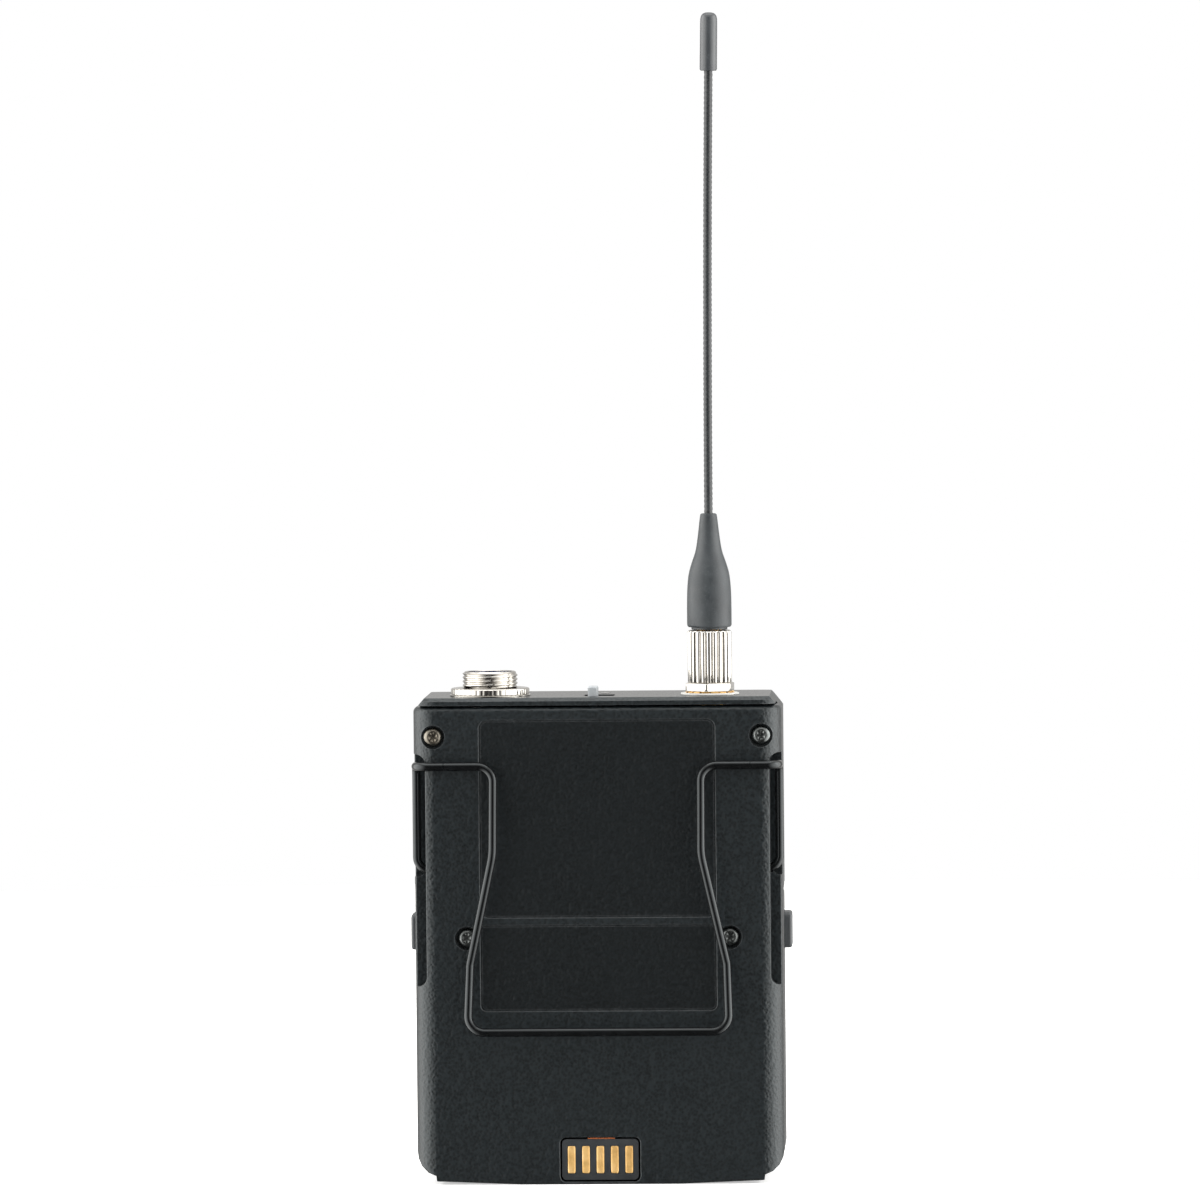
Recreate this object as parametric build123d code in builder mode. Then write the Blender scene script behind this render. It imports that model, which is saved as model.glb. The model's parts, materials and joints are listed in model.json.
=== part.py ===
from build123d import *
import math
import os

# Bodypack transmitter of a wireless lavalier microphone system, with a whip antenna,
# a wire belt clip, a drop-down battery door and a screw-on microphone connector.
# Millimetres. +Z is up. The front (display and battery door) faces -Y and the
# back (belt clip) faces +Y. The origin is the centre of the face it stands on.

os.makedirs("parts", exist_ok=True)

# ---------------------------------------------------------------- driving dimensions
WIDTH = 65.0
DEPTH = 23.0
HEIGHT = 86.0
HALF_W = WIDTH / 2
HALF_D = DEPTH / 2
CORNER_R = 4.0

PARTING_Y = 4.0        # plane where the rear cover meets the front housing
COVER_TOP = 84.4       # top edge of the rear cover, under the cap of the housing
CAP_BOTTOM = 84.6
CAVITY_HALF_W = 29.3
CAVITY_FRONT = -9.9
CAVITY_BACK = 9.7
CAVITY_BOTTOM = 2.4
CAVITY_TOP = 82.9
GAP = 0.3              # running gap between pieces that move apart

DOOR_TOP = 51.0
DOOR_BACK = -1.0       # rear edge of the door's side walls
DOOR_WALL = 1.3
DOOR_INNER_HALF_W = 30.7
HINGE_Y = -8.3
HINGE_Z = 3.4
HINGE_R = 3.2
PIN_R = 0.75
PIN_HALF_L = 30.2
LUG_X = 28.2
LUG_W = 2.2

SLOT_LOW = 35.1        # side slots that hold the belt clip
SLOT_HIGH = 76.0
SLOT_FLOOR_Y = 5.9     # floor of the deep upper part
SLOT_SHELF_Y = 9.0     # floor of the shallow lower part
SLOT_SHELF_Z = 54.4    # height where the floor steps
SLOT_WALL_X = 30.35
SLOT_END_R = 1.6
SOCKET_X = 29.85       # bottom of the pocket that the foot of the clip bends into
CLIP_PIVOT_Z = 55.6
CLIP_PIVOT_Y = 8.6
CLIP_TOP_Z = 74.0
CLIP_TOP_Y = 12.6
CLIP_ARM_X = 32.0
CLIP_FOOT_R = 2.2      # bend where an arm turns into the slot wall
CLIP_SPLIT_X = 27.0
WIRE_R = 0.75

SCREW_UPPER = (28.9, 79.15)
SCREW_LOWER = (23.2, 43.6)
SCREW_HEAD_R = 1.7
SCREW_SHANK_R = 1.0
SCREW_HEAD_T = 0.7
SCREW_DEPTH = 0.5      # how far the heads sit below the back face

LABEL_HALF_W = 20.8
LABEL_RECESS = 0.3
LABEL_T = 0.12
UPPER_LABEL = (47.2, 82.1)
LOWER_LABEL = (30.7, 45.9)

BLOCK_HALF_W = 6.75
BLOCK_LOW = 0.8
BLOCK_HIGH = 8.0
CONTACT_PITCH = 2.54
CONTACT_COUNT = 5

WINDOW_HALF_W = 17.0
WINDOW_LOW = 62.0
WINDOW_HIGH = 79.0
KEY_Z = 55.6
KEY_X = (-12.0, 0.0, 12.0)
KEY_NAMES = ("menu_key", "scroll_key", "enter_key")
KEY_W = 7.2
KEY_H = 3.6

LATCH_Y = -5.0
LATCH_Z = 43.7
LATCH_SIZE = 6.4
LATCH_PROUD = 1.4      # how far the buttons stand out of the sides
LATCH_FLANGE_X = 29.7  # inner face of the flange behind a button
LATCH_FLANGE_T = 0.7
LATCH_NOTCH = (-12.0, 4.9)   # reach of the notch behind a latch, below and above its centre

BATTERY_R = 7.25
BATTERY_LENGTH = 50.5
BATTERY_Y = -2.6
BATTERY_Z = {"battery_lower": 12.5, "battery_upper": 27.8}

JACK_X = 19.15
JACK_Y = 2.5
JACK_R = 4.85
JACK_TOP = 90.3
SWITCH_X = -0.3
SWITCH_Y = 4.15
SWITCH_SLOT = 5.35
SLIDER_X = 0.85
SMA_X = -19.8
SMA_Y = 3.5
THREAD_R = 3.12
NUT_LOW = 88.15
NUT_HIGH = 97.4
WHIP_BOTTOM = 118.0
WHIP_TOP = 196.9
WHIP_LEAN = 0.65       # how far the top of the whip bows sideways
TIP_TOP = 206.3


def save(builder, name):
    """Label a finished piece and write it as its own STEP file."""
    builder.part.label = name
    export_step(builder.part, f"parts/{name}.step")
    print(name, len(builder.part.solids()), round(builder.part.volume, 1))


# ---------------------------------------------------------------- shared shapes
# Outer form of the closed case: its front outline, cut by its plan outline.
FOOT_FLAT = 14.0
FOOT_HALF_W = 28.9
FOOT_ROUND = 0.45


def along_foot(edge):
    """True for edges that run along the foot, on its front or its back."""
    return abs(edge.tangent_at(0.5).Y) < 0.1 and abs(edge.center().Y) > HALF_D - 0.1


with BuildPart() as envelope:
    with BuildSketch(Plane.XZ.offset(-HALF_D)):
        with BuildLine():
            Polyline(
                (0, 0),
                (FOOT_FLAT, 0),
                (FOOT_HALF_W, 0.6),
                (FOOT_HALF_W + 0.1, 1.6),
                (30.4, 2.15),
                (31.6, 3.2),
                (32.25, 4.5),
                (HALF_W, 5.9),
                (HALF_W, HEIGHT - 2.4),
                (HALF_W - 2.1, HEIGHT),
                (0, HEIGHT),
                close=True,
            )
        make_face()
        mirror(about=Plane.YZ)
    extrude(amount=DEPTH)
    with BuildSketch(Plane.XY):
        RectangleRounded(WIDTH, DEPTH, CORNER_R)
    extrude(amount=HEIGHT, mode=Mode.INTERSECT)
    cap_rim = envelope.faces().sort_by(Axis.Z)[-1].edges().filter_by(Axis.X)
    chamfer(cap_rim, length=0.6)
    foot_rims = envelope.edges().filter_by_position(Axis.Z, -0.1, 0.7)
    fillet(foot_rims.filter_by(along_foot), radius=FOOT_ROUND)

with BuildPart() as cavity:
    with BuildSketch(Plane.XY.offset(CAVITY_BOTTOM)):
        with Locations((0, (CAVITY_FRONT + CAVITY_BACK) / 2)):
            RectangleRounded(2 * CAVITY_HALF_W, CAVITY_BACK - CAVITY_FRONT, 2.2)
    extrude(amount=CAVITY_TOP - CAVITY_BOTTOM)


def screw_places():
    """Centres of the four case screws on a plane that faces back."""
    return [
        (side * x, z)
        for x, z in (SCREW_UPPER, SCREW_LOWER)
        for side in (1, -1)
    ]


# Plane on the back face, looking out of the case: local x is -X, local y is +Z.
BACK = Plane((0, HALF_D, 0), x_dir=(-1, 0, 0), z_dir=(0, 1, 0))
# Plane on the front face, looking out of the case: local x is +X, local y is +Z.
FRONT = Plane((0, -HALF_D, 0), x_dir=(1, 0, 0), z_dir=(0, -1, 0))


def on_side_skin(point):
    """True for points on the sides of the case and on its rounded rear corners."""
    past_corner = point.Y - (HALF_D - CORNER_R)
    if past_corner < 0:
        return abs(abs(point.X) - HALF_W) < 0.01
    reach = math.hypot(abs(point.X) - (HALF_W - CORNER_R), past_corner)
    return abs(point.X) > HALF_W - CORNER_R and abs(reach - CORNER_R) < 0.01


def in_side_slot(edge):
    """True for the outer rim of the slots that hold the belt clip."""
    mid = edge @ 0.5
    in_slot = SLOT_LOW - 0.1 < mid.Z < SLOT_HIGH + 0.1 and mid.Y > SLOT_FLOOR_Y - 0.1
    return in_slot and abs(mid.X) > SLOT_WALL_X - 0.1 and on_side_skin(mid)


def in_label_area(edge):
    """True for the outlines of the two label recesses."""
    box = edge.bounding_box()
    return max(box.max.X, -box.min.X) < LABEL_HALF_W + 0.1 and box.min.Z > LOWER_LABEL[0] - 0.1


def in_contact_area(edge):
    """True for the outline of the opening for the charging contacts."""
    box = edge.bounding_box()
    return max(box.max.X, -box.min.X) < BLOCK_HALF_W + 0.4 and 0.4 < box.min.Z and box.max.Z < 9.0


# ---------------------------------------------------------------- rear cover
with BuildPart() as rear_cover:
    add(envelope.part)
    with BuildSketch(Plane.XY):
        with Locations((0, PARTING_Y)):
            Rectangle(WIDTH + 2, DEPTH, align=(Align.CENTER, Align.MIN))
    extrude(amount=COVER_TOP, mode=Mode.INTERSECT)
    add(cavity.part, mode=Mode.SUBTRACT)
    with BuildSketch(Plane.XY.offset(CAVITY_TOP)):
        Rectangle(2 * CAVITY_HALF_W, 2 * CAVITY_BACK)
    extrude(amount=3, mode=Mode.SUBTRACT)
    top_edge = rear_cover.faces().filter_by(Axis.Z).sort_by(Axis.Z)[-1]
    fillet(top_edge.edges().filter_by(Axis.X).sort_by(Axis.Y)[-1], radius=1.0)
    # Side slots for the clip, open to the side and the back: deep above its feet, shallow below.
    for side in (1, -1):
        for floor_y, low in ((SLOT_FLOOR_Y, SLOT_SHELF_Z), (SLOT_SHELF_Y, SLOT_LOW)):
            with BuildSketch(Plane.XZ.offset(-floor_y)):
                with Locations((side * (SLOT_WALL_X + 4), (low + SLOT_HIGH) / 2)):
                    RectangleRounded(8, SLOT_HIGH - low, SLOT_END_R)
            extrude(amount=-(HALF_D + 1 - floor_y), mode=Mode.SUBTRACT)
    slot_rims = rear_cover.edges().filter_by(in_side_slot)
    fillet(slot_rims, radius=0.2)
    # Sockets for the feet of the clip: a long pocket for the bend, then a round hole.
    for side in (1, -1):
        with BuildSketch(Plane.YZ.offset(side * SOCKET_X)):
            with Locations((CLIP_PIVOT_Y, CLIP_PIVOT_Z + 0.6)):
                SlotOverall(3.0, 2 * (WIRE_R + 0.06), rotation=90)
        extrude(amount=side * 2, mode=Mode.SUBTRACT)
        with BuildSketch(Plane.YZ.offset(side * (CAVITY_HALF_W - 1))):
            with Locations((CLIP_PIVOT_Y, CLIP_PIVOT_Z)):
                Circle(WIRE_R + 0.06)
        extrude(amount=side * 3, mode=Mode.SUBTRACT)
    # Screw counterbores, and room for the housing's posts behind them.
    with Locations([BACK.location]):
        with Locations(screw_places()):
            CounterBoreHole(
                radius=SCREW_SHANK_R + 0.1,
                counter_bore_radius=SCREW_HEAD_R + 0.4,
                counter_bore_depth=SCREW_DEPTH + SCREW_HEAD_T,
                depth=4,
            )
    with BuildSketch(BACK.offset(CAVITY_BACK - HALF_D)):
        with Locations(screw_places()):
            Circle(2.4)
    extrude(amount=-(CAVITY_BACK - PARTING_Y), mode=Mode.SUBTRACT)
    # Two shallow recesses for labels.
    for low, high, corner in ((*UPPER_LABEL, 1.5), (*LOWER_LABEL, 1.0)):
        with BuildSketch(BACK):
            with Locations((0, (low + high) / 2)):
                RectangleRounded(2 * LABEL_HALF_W, high - low, corner)
        extrude(amount=-LABEL_RECESS, mode=Mode.SUBTRACT)
    # Opening for the charging contact block.
    with BuildSketch(BACK):
        with Locations((0, (BLOCK_LOW + BLOCK_HIGH) / 2)):
            RectangleRounded(2 * BLOCK_HALF_W + 0.6, BLOCK_HIGH - BLOCK_LOW + 0.6, 1.0)
    extrude(amount=-3.4, mode=Mode.SUBTRACT)
    # Softened rims of the label recesses and of the opening.
    back_rims = rear_cover.edges().filter_by_position(Axis.Y, HALF_D - 0.01, HALF_D + 0.01)
    recess_rims = back_rims.filter_by(in_label_area)
    fillet(recess_rims, radius=0.15)
    opening_rims = rear_cover.edges().filter_by_position(Axis.Y, HALF_D - 0.01, HALF_D + 0.01)
    fillet(opening_rims.filter_by(in_contact_area), radius=0.2)
save(rear_cover, "rear_cover")


def in_front_opening(edge):
    """True for the outlines of the display, key and infrared openings."""
    box = edge.bounding_box()
    return max(box.max.X, -box.min.X) < 27.0 and box.min.Z > DOOR_TOP + 1.0 and box.max.Z < 81.0


def on_outer_skin(edge):
    """True for edges that run along the outside of the case."""
    mid = edge.center()
    return abs(mid.X) > HALF_W - 1.5 or mid.Y > HALF_D - 1.5


# ---------------------------------------------------------------- front housing
with BuildPart() as front_housing:
    add(envelope.part)
    # The cap overhangs the rear cover; everything below it stops at the parting plane.
    with BuildSketch(Plane.XY.offset(-1)):
        with Locations((0, PARTING_Y)):
            Rectangle(WIDTH + 2, DEPTH, align=(Align.CENTER, Align.MIN))
    extrude(amount=CAP_BOTTOM + 1, mode=Mode.SUBTRACT)
    add(cavity.part, mode=Mode.SUBTRACT)
    # Space for the door: the whole front, and its side walls back to their rear edge.
    with BuildSketch(Plane.YZ.offset(-HALF_W - 1)):
        with BuildLine():
            Polyline(
                (-HALF_D - 1, -1),
                (HINGE_Y + HINGE_R + GAP, -1),
                (HINGE_Y + HINGE_R + GAP, HINGE_Z - 0.6),
                (DOOR_BACK + GAP, HINGE_Z - 0.6),
                (DOOR_BACK + GAP, DOOR_TOP + 0.4),
                (-HALF_D - 1, DOOR_TOP + 0.4),
                close=True,
            )
        make_face()
    extrude(amount=WIDTH + 2, mode=Mode.SUBTRACT)
    # Inner cheeks beside the battery compartment, notched open for the latches.
    for side in (1, -1):
        with BuildSketch(Plane.YZ.offset(side * CAVITY_HALF_W)):
            with BuildLine():
                Polyline(
                    (-4.6, 2.2),
                    (PARTING_Y - 0.4, 2.2),
                    (PARTING_Y - 0.4, DOOR_TOP + 1.5),
                    (-9.4, DOOR_TOP + 1.5),
                    (-9.4, LATCH_Z + LATCH_NOTCH[1]),
                    (DOOR_BACK + 0.6, LATCH_Z + LATCH_NOTCH[1]),
                    (DOOR_BACK + 0.6, LATCH_Z + LATCH_NOTCH[0]),
                    (-9.4, LATCH_Z + LATCH_NOTCH[0]),
                    (-9.4, 7.6),
                    (-4.6, 7.6),
                    close=True,
                )
            make_face()
        extrude(amount=side * 1.1)
        # Web that carries the lower screw post.
        with BuildSketch(Plane.XY.offset(SCREW_LOWER[1] - 1.0)):
            with Locations((side * (SCREW_LOWER[0] + CAVITY_HALF_W) / 2, PARTING_Y - 2)):
                Rectangle(CAVITY_HALF_W - SCREW_LOWER[0] + 0.6, 4)
        extrude(amount=2.0)
    # Shelf between the battery compartment and the electronics.
    with BuildSketch(Plane.XY.offset(DOOR_TOP + 0.4)):
        with Locations((0, CAVITY_FRONT - 0.3)):
            Rectangle(2 * CAVITY_HALF_W + 0.4, 3.0, align=(Align.CENTER, Align.MIN))
    extrude(amount=1.2)
    # Screw posts.
    for x, z in screw_places():
        front_end = CAVITY_FRONT - 0.3 if z > DOOR_TOP else 0.2
        with BuildSketch(Plane.XZ.offset(-(CAVITY_BACK - 0.1))):
            with Locations((-x, z)):
                Circle(2.2)
        extrude(amount=CAVITY_BACK - 0.1 - front_end)
    with BuildSketch(Plane.XZ.offset(-(CAVITY_BACK + 1))):
        with Locations([(-x, z) for x, z in screw_places()]):
            Circle(SCREW_SHANK_R + 0.05)
    extrude(amount=8.0, mode=Mode.SUBTRACT)
    # Hinge lugs, from the bottom wall forward to the pin.
    for side in (1, -1):
        with BuildSketch(Plane.YZ.offset(side * LUG_X - LUG_W / 2)):
            with BuildLine():
                Polyline(
                    (HINGE_Y, HINGE_Z - 1.6),
                    (-4.6, 0.5),
                    (-4.6, 2.4),
                    (HINGE_Y, HINGE_Z + 1.2),
                    close=True,
                )
            make_face()
            with Locations((HINGE_Y, HINGE_Z)):
                Circle(1.6)
                Circle(PIN_R + 0.02, mode=Mode.SUBTRACT)
        extrude(amount=LUG_W)
    # Display window seat and opening.
    with BuildSketch(FRONT):
        with Locations((0, (WINDOW_LOW + WINDOW_HIGH) / 2)):
            RectangleRounded(2 * WINDOW_HALF_W + 1.6, WINDOW_HIGH - WINDOW_LOW + 1.6, 1.8)
    extrude(amount=-0.8, mode=Mode.SUBTRACT)
    with BuildSketch(FRONT):
        with Locations((0, (WINDOW_LOW + WINDOW_HIGH) / 2)):
            RectangleRounded(2 * WINDOW_HALF_W - 1, WINDOW_HIGH - WINDOW_LOW - 1, 1.0)
    extrude(amount=-3, mode=Mode.SUBTRACT)
    # Infrared window and the three key openings.
    with BuildSketch(FRONT):
        with Locations((23.5, KEY_Z)):
            RectangleRounded(5.0, 3.6, 0.9)
        with Locations([(x, KEY_Z) for x in KEY_X]):
            RectangleRounded(7.4, 3.8, 1.2)
    extrude(amount=-3, mode=Mode.SUBTRACT)
    # Holes through the cap for the two connectors and the power indicator.
    with BuildSketch(Plane.XY.offset(CAVITY_TOP - 1)):
        with Locations((JACK_X, JACK_Y)):
            Circle(JACK_R + 0.05)
        with Locations((SMA_X, SMA_Y)):
            Circle(THREAD_R + 0.05)
        with Locations((SWITCH_X - 0.7, -3.1)):
            Circle(0.95)
        with Locations((SWITCH_X, SWITCH_Y)):
            Rectangle(SWITCH_SLOT - 0.6, 1.9)
    extrude(amount=6, mode=Mode.SUBTRACT)
    with BuildSketch(Plane.XY.offset(HEIGHT)):
        with Locations((SWITCH_X, SWITCH_Y)):
            RectangleRounded(SWITCH_SLOT, 4.9, 0.5)
    extrude(amount=-0.9, mode=Mode.SUBTRACT)
    # Softened rims of the openings in the front and of the cap's lower edge.
    front_rims = front_housing.edges().filter_by_position(Axis.Y, -HALF_D - 0.01, -HALF_D + 0.01)
    fillet(front_rims.filter_by(in_front_opening), radius=0.2)
    lip_height = (CAP_BOTTOM - 0.01, CAP_BOTTOM + 0.01)
    cap_lip = front_housing.edges().filter_by_position(Axis.Z, *lip_height)
    fillet(cap_lip.filter_by(on_outer_skin), radius=0.15)
save(front_housing, "front_housing")

# ---------------------------------------------------------------- case fasteners, labels
with BuildPart() as rear_cover_screws:
    seat_y = HALF_D - SCREW_DEPTH - SCREW_HEAD_T
    with BuildSketch(Plane.XZ.offset(-seat_y)):
        with Locations(screw_places()):
            Circle(SCREW_HEAD_R)
    extrude(amount=-SCREW_HEAD_T)
    rims = rear_cover_screws.faces().sort_by(Axis.Y)[-4:].edges()
    fillet(rims, radius=0.35)
    with BuildSketch(Plane.XZ.offset(-seat_y)):
        with Locations(screw_places()):
            Circle(SCREW_SHANK_R)
    extrude(amount=6.4)
    # Six-lobed drive recess.
    with BuildSketch(Plane.XZ.offset(-(HALF_D - SCREW_DEPTH))):
        with Locations(screw_places()):
            Circle(0.62)
            with PolarLocations(0.62, 6):
                Circle(0.22)
    extrude(amount=0.5, mode=Mode.SUBTRACT)
save(rear_cover_screws, "rear_cover_screws")

for name, (low, high), corner in (
    ("rating_label", UPPER_LABEL, 1.3),
    ("info_label", LOWER_LABEL, 0.8),
):
    with BuildPart() as label:
        with BuildSketch(BACK.offset(-LABEL_RECESS)):
            with Locations((0, (low + high) / 2)):
                RectangleRounded(2 * LABEL_HALF_W - 0.5, high - low - 0.5, corner)
        extrude(amount=LABEL_T)
    save(label, name)


GROOVE_LENGTHS = (26, 20)
GROOVE_W = 1.6
GROOVE_BAND = (DOOR_TOP - 9.5, DOOR_TOP - 3.0)   # lowest and highest reach of the finger grooves


def in_finger_groove(edge):
    """True for the outlines of the grooves near the top of the door."""
    box = edge.bounding_box()
    in_width = max(box.max.X, -box.min.X) < GROOVE_LENGTHS[0] / 2 + 1
    return in_width and GROOVE_BAND[0] < box.min.Z and box.max.Z < GROOVE_BAND[1]


def round_latch(edge):
    """True for the outer rims of the latch openings."""
    mid = edge.center()
    near = math.dist((mid.Y, mid.Z), (LATCH_Y, LATCH_Z)) < LATCH_SIZE
    return near and abs(mid.X) > HALF_W - 0.02


# ---------------------------------------------------------------- battery door and latches
with BuildPart() as battery_door:
    add(envelope.part)
    with BuildSketch(Plane.YZ.offset(-HALF_W - 1)):
        with BuildLine():
            Polyline(
                (-HALF_D - 1, HINGE_Z),
                (HINGE_Y, HINGE_Z - 0.3),
                (DOOR_BACK, HINGE_Z - 0.3),
                (DOOR_BACK, DOOR_TOP - 0.6),
                (-9.0, DOOR_TOP - 0.6),
                (-9.4, DOOR_TOP),
                (-HALF_D - 1, DOOR_TOP),
                close=True,
            )
        make_face()
        # Round foot that turns on the hinge pin.
        with Locations((HINGE_Y, HINGE_Z)):
            Circle(HINGE_R)
    extrude(amount=WIDTH + 2, mode=Mode.INTERSECT)
    with BuildSketch(Plane.YZ.offset(-DOOR_INNER_HALF_W)):
        with BuildLine():
            Polyline(
                (-HALF_D + DOOR_WALL, HINGE_Z),
                (DOOR_BACK + 1, HINGE_Z - 2),
                (DOOR_BACK + 1, DOOR_TOP + 1),
                (-HALF_D + DOOR_WALL, DOOR_TOP + 1),
                close=True,
            )
        make_face()
        with Locations((HINGE_Y, HINGE_Z)):
            Circle(HINGE_R, mode=Mode.SUBTRACT)
    extrude(amount=2 * DOOR_INNER_HALF_W, mode=Mode.SUBTRACT)
    with BuildSketch(Plane.YZ.offset(-HALF_W)):
        with Locations((HINGE_Y, HINGE_Z)):
            Circle(PIN_R + 0.05)
    extrude(amount=WIDTH, mode=Mode.SUBTRACT)
    for side in (1, -1):
        # Clearance round the hinge lug.
        with BuildSketch(Plane.YZ.offset(side * LUG_X - LUG_W / 2 - GAP)):
            with BuildLine():
                Polyline(
                    (-HALF_D - 1, -1),
                    (-HALF_D - 1, HINGE_Z),
                    (-HALF_D + DOOR_WALL, HINGE_Z),
                    (-HALF_D + DOOR_WALL, HINGE_Z + 4.5),
                    (HINGE_Y + HINGE_R + 1, HINGE_Z + 4.5),
                    (HINGE_Y + HINGE_R + 1, -1),
                    close=True,
                )
            make_face()
        extrude(amount=LUG_W + 2 * GAP, mode=Mode.SUBTRACT)
        # Opening for the latch button.
        with BuildSketch(Plane.YZ.offset(side * DOOR_INNER_HALF_W - side)):
            with Locations((LATCH_Y, LATCH_Z)):
                RectangleRounded(LATCH_SIZE + 0.2, LATCH_SIZE + 0.2, 1.1)
        extrude(amount=side * 4, mode=Mode.SUBTRACT)
    # Two shallow finger grooves across the front.
    with BuildSketch(FRONT):
        with Locations((0, DOOR_TOP - 5)):
            SlotOverall(GROOVE_LENGTHS[0], GROOVE_W)
        with Locations((0, DOOR_TOP - 8)):
            SlotOverall(GROOVE_LENGTHS[1], GROOVE_W)
    extrude(amount=-0.4, mode=Mode.SUBTRACT)
    # Softened rims of the grooves, the latch openings and the top edge.
    door_front = battery_door.edges().filter_by_position(Axis.Y, -HALF_D - 0.01, -HALF_D + 0.01)
    fillet(door_front.filter_by(in_finger_groove), radius=0.15)
    door_sides = battery_door.edges().filter_by(round_latch)
    fillet(door_sides, radius=0.2)
save(battery_door, "battery_door")

for name, side in (("latch_left", 1), ("latch_right", -1)):
    with BuildPart() as latch:
        flange_top = LATCH_FLANGE_X + LATCH_FLANGE_T
        with BuildSketch(Plane.YZ.offset(side * flange_top)):
            with Locations((LATCH_Y, LATCH_Z)):
                RectangleRounded(LATCH_SIZE, LATCH_SIZE, 1.0)
        extrude(amount=side * (HALF_W + LATCH_PROUD - flange_top))
        outer_rim = latch.faces().sort_by(Axis.X)[-1 if side > 0 else 0].edges()
        fillet(outer_rim, radius=0.5)
        with BuildSketch(Plane.YZ.offset(side * LATCH_FLANGE_X)):
            with Locations((LATCH_Y, LATCH_Z)):
                RectangleRounded(LATCH_SIZE + 1.2, LATCH_SIZE + 1.2, 1.0)
            # Moulded spring tail below the flange.
            with Locations((LATCH_Y, LATCH_Z - 7)):
                Rectangle(3.2, 7.5)
        extrude(amount=side * LATCH_FLANGE_T)
    save(latch, name)

with BuildPart() as door_hinge_pin:
    with BuildSketch(Plane.YZ.offset(-PIN_HALF_L)):
        with Locations((HINGE_Y, HINGE_Z)):
            Circle(PIN_R)
    extrude(amount=2 * PIN_HALF_L)
save(door_hinge_pin, "door_hinge_pin")

# ---------------------------------------------------------------- front panel
window_mid_z = (WINDOW_LOW + WINDOW_HIGH) / 2
window_h = WINDOW_HIGH - WINDOW_LOW
with BuildPart() as display_window:
    with BuildSketch(FRONT.offset(-0.8)):
        with Locations((0, window_mid_z)):
            RectangleRounded(2 * WINDOW_HALF_W + 1.4, window_h + 1.4, 1.7)
    extrude(amount=0.75)
save(display_window, "display_window")

with BuildPart() as display_gasket:
    with BuildSketch(Plane.XZ.offset(-CAVITY_FRONT - 0.2)):
        with Locations((0, window_mid_z)):
            RectangleRounded(2 * WINDOW_HALF_W + 2.4, window_h + 2.4, 1.5)
            RectangleRounded(2 * WINDOW_HALF_W - 1, window_h - 1, 1.0, mode=Mode.SUBTRACT)
    extrude(amount=0.2)
save(display_gasket, "display_gasket")

BOARD_FRONT = -7.6
CONTROL_BOARD = (52.6, 29.0)
CONTROL_BOARD_Z = 67.5
with BuildPart() as lcd_panel:
    with BuildSketch(Plane.XZ.offset(-BOARD_FRONT)):
        with Locations((0, window_mid_z)):
            RectangleRounded(2 * WINDOW_HALF_W + 3.2, window_h + 2.6, 0.8)
    extrude(amount=-CAVITY_FRONT - 0.2 + BOARD_FRONT)
save(lcd_panel, "lcd_panel")

with BuildPart() as ir_window:
    with BuildSketch(FRONT.offset(-0.1)):
        with Locations((23.5, KEY_Z)):
            RectangleRounded(4.8, 3.4, 0.8)
    extrude(amount=-1.8)
save(ir_window, "ir_window")

for name, x in zip(KEY_NAMES, KEY_X):
    with BuildPart() as key:
        with BuildSketch(FRONT.offset(0.5)):
            with Locations((x, KEY_Z)):
                RectangleRounded(KEY_W, KEY_H, 1.1)
        extrude(amount=-2.8)
        fillet(key.faces().sort_by(Axis.Y)[0].edges(), radius=0.3)
        with BuildSketch(FRONT.offset(-1.7)):
            with Locations((x, KEY_Z)):
                RectangleRounded(KEY_W + 1.4, KEY_H + 1.2, 1.0)
        extrude(amount=-0.6)
    save(key, name)

with BuildPart() as key_switches:
    with BuildSketch(Plane.XZ.offset(-BOARD_FRONT)):
        with Locations([(x, KEY_Z) for x in KEY_X]):
            Rectangle(4.5, 3.2)
    extrude(amount=0.6)
    with BuildSketch(Plane.XZ.offset(-BOARD_FRONT + 0.6)):
        with Locations([(x, KEY_Z) for x in KEY_X]):
            Circle(0.9)
    extrude(amount=0.3)
save(key_switches, "key_switches")

with BuildPart() as control_board:
    with BuildSketch(Plane.XZ.offset(-BOARD_FRONT)):
        with Locations((0, CONTROL_BOARD_Z)):
            RectangleRounded(*CONTROL_BOARD, 1.0)
    extrude(amount=-1.2)
save(control_board, "control_board")

# ---------------------------------------------------------------- main board
MAIN_FRONT = 6.6
MAIN_T = 1.2
MAIN_BOARD = (53.0, 59.0)
MAIN_BOARD_Z = 38.5
with BuildPart() as main_board:
    with BuildSketch(Plane.XZ.offset(-MAIN_FRONT)):
        with Locations((0, MAIN_BOARD_Z)):
            RectangleRounded(*MAIN_BOARD, 1.0)
        with Locations([place for place in screw_places() if place[1] < DOOR_TOP]):
            Circle(2.5, mode=Mode.SUBTRACT)
    extrude(amount=-MAIN_T)
save(main_board, "main_board")

with BuildPart() as board_link_connector:
    with BuildSketch(Plane.XZ.offset(-MAIN_FRONT)):
        with Locations((0, 55.6)):
            Rectangle(16, 3.4)
    extrude(amount=MAIN_FRONT - BOARD_FRONT - 1.2)
save(board_link_connector, "board_link_connector")

with BuildPart() as rf_shield:
    with BuildSketch(Plane.XZ.offset(-MAIN_FRONT)):
        with Locations((-14.5, 63.0)):
            Rectangle(20, 9)
    extrude(amount=2.4)
    open_side = rf_shield.faces().sort_by(Axis.Y)[-1]
    offset(amount=-0.3, openings=open_side)
save(rf_shield, "rf_shield")

with BuildPart() as board_chips:
    with BuildSketch(Plane.XZ.offset(-MAIN_FRONT)):
        with Locations((8, 62.5), (17, 62.5)):
            Rectangle(6.5, 6.5)
        with Locations((-12, 45), (0, 45), (12, 45)):
            Rectangle(5, 3.2)
    extrude(amount=0.8)
save(board_chips, "board_chips")

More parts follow.
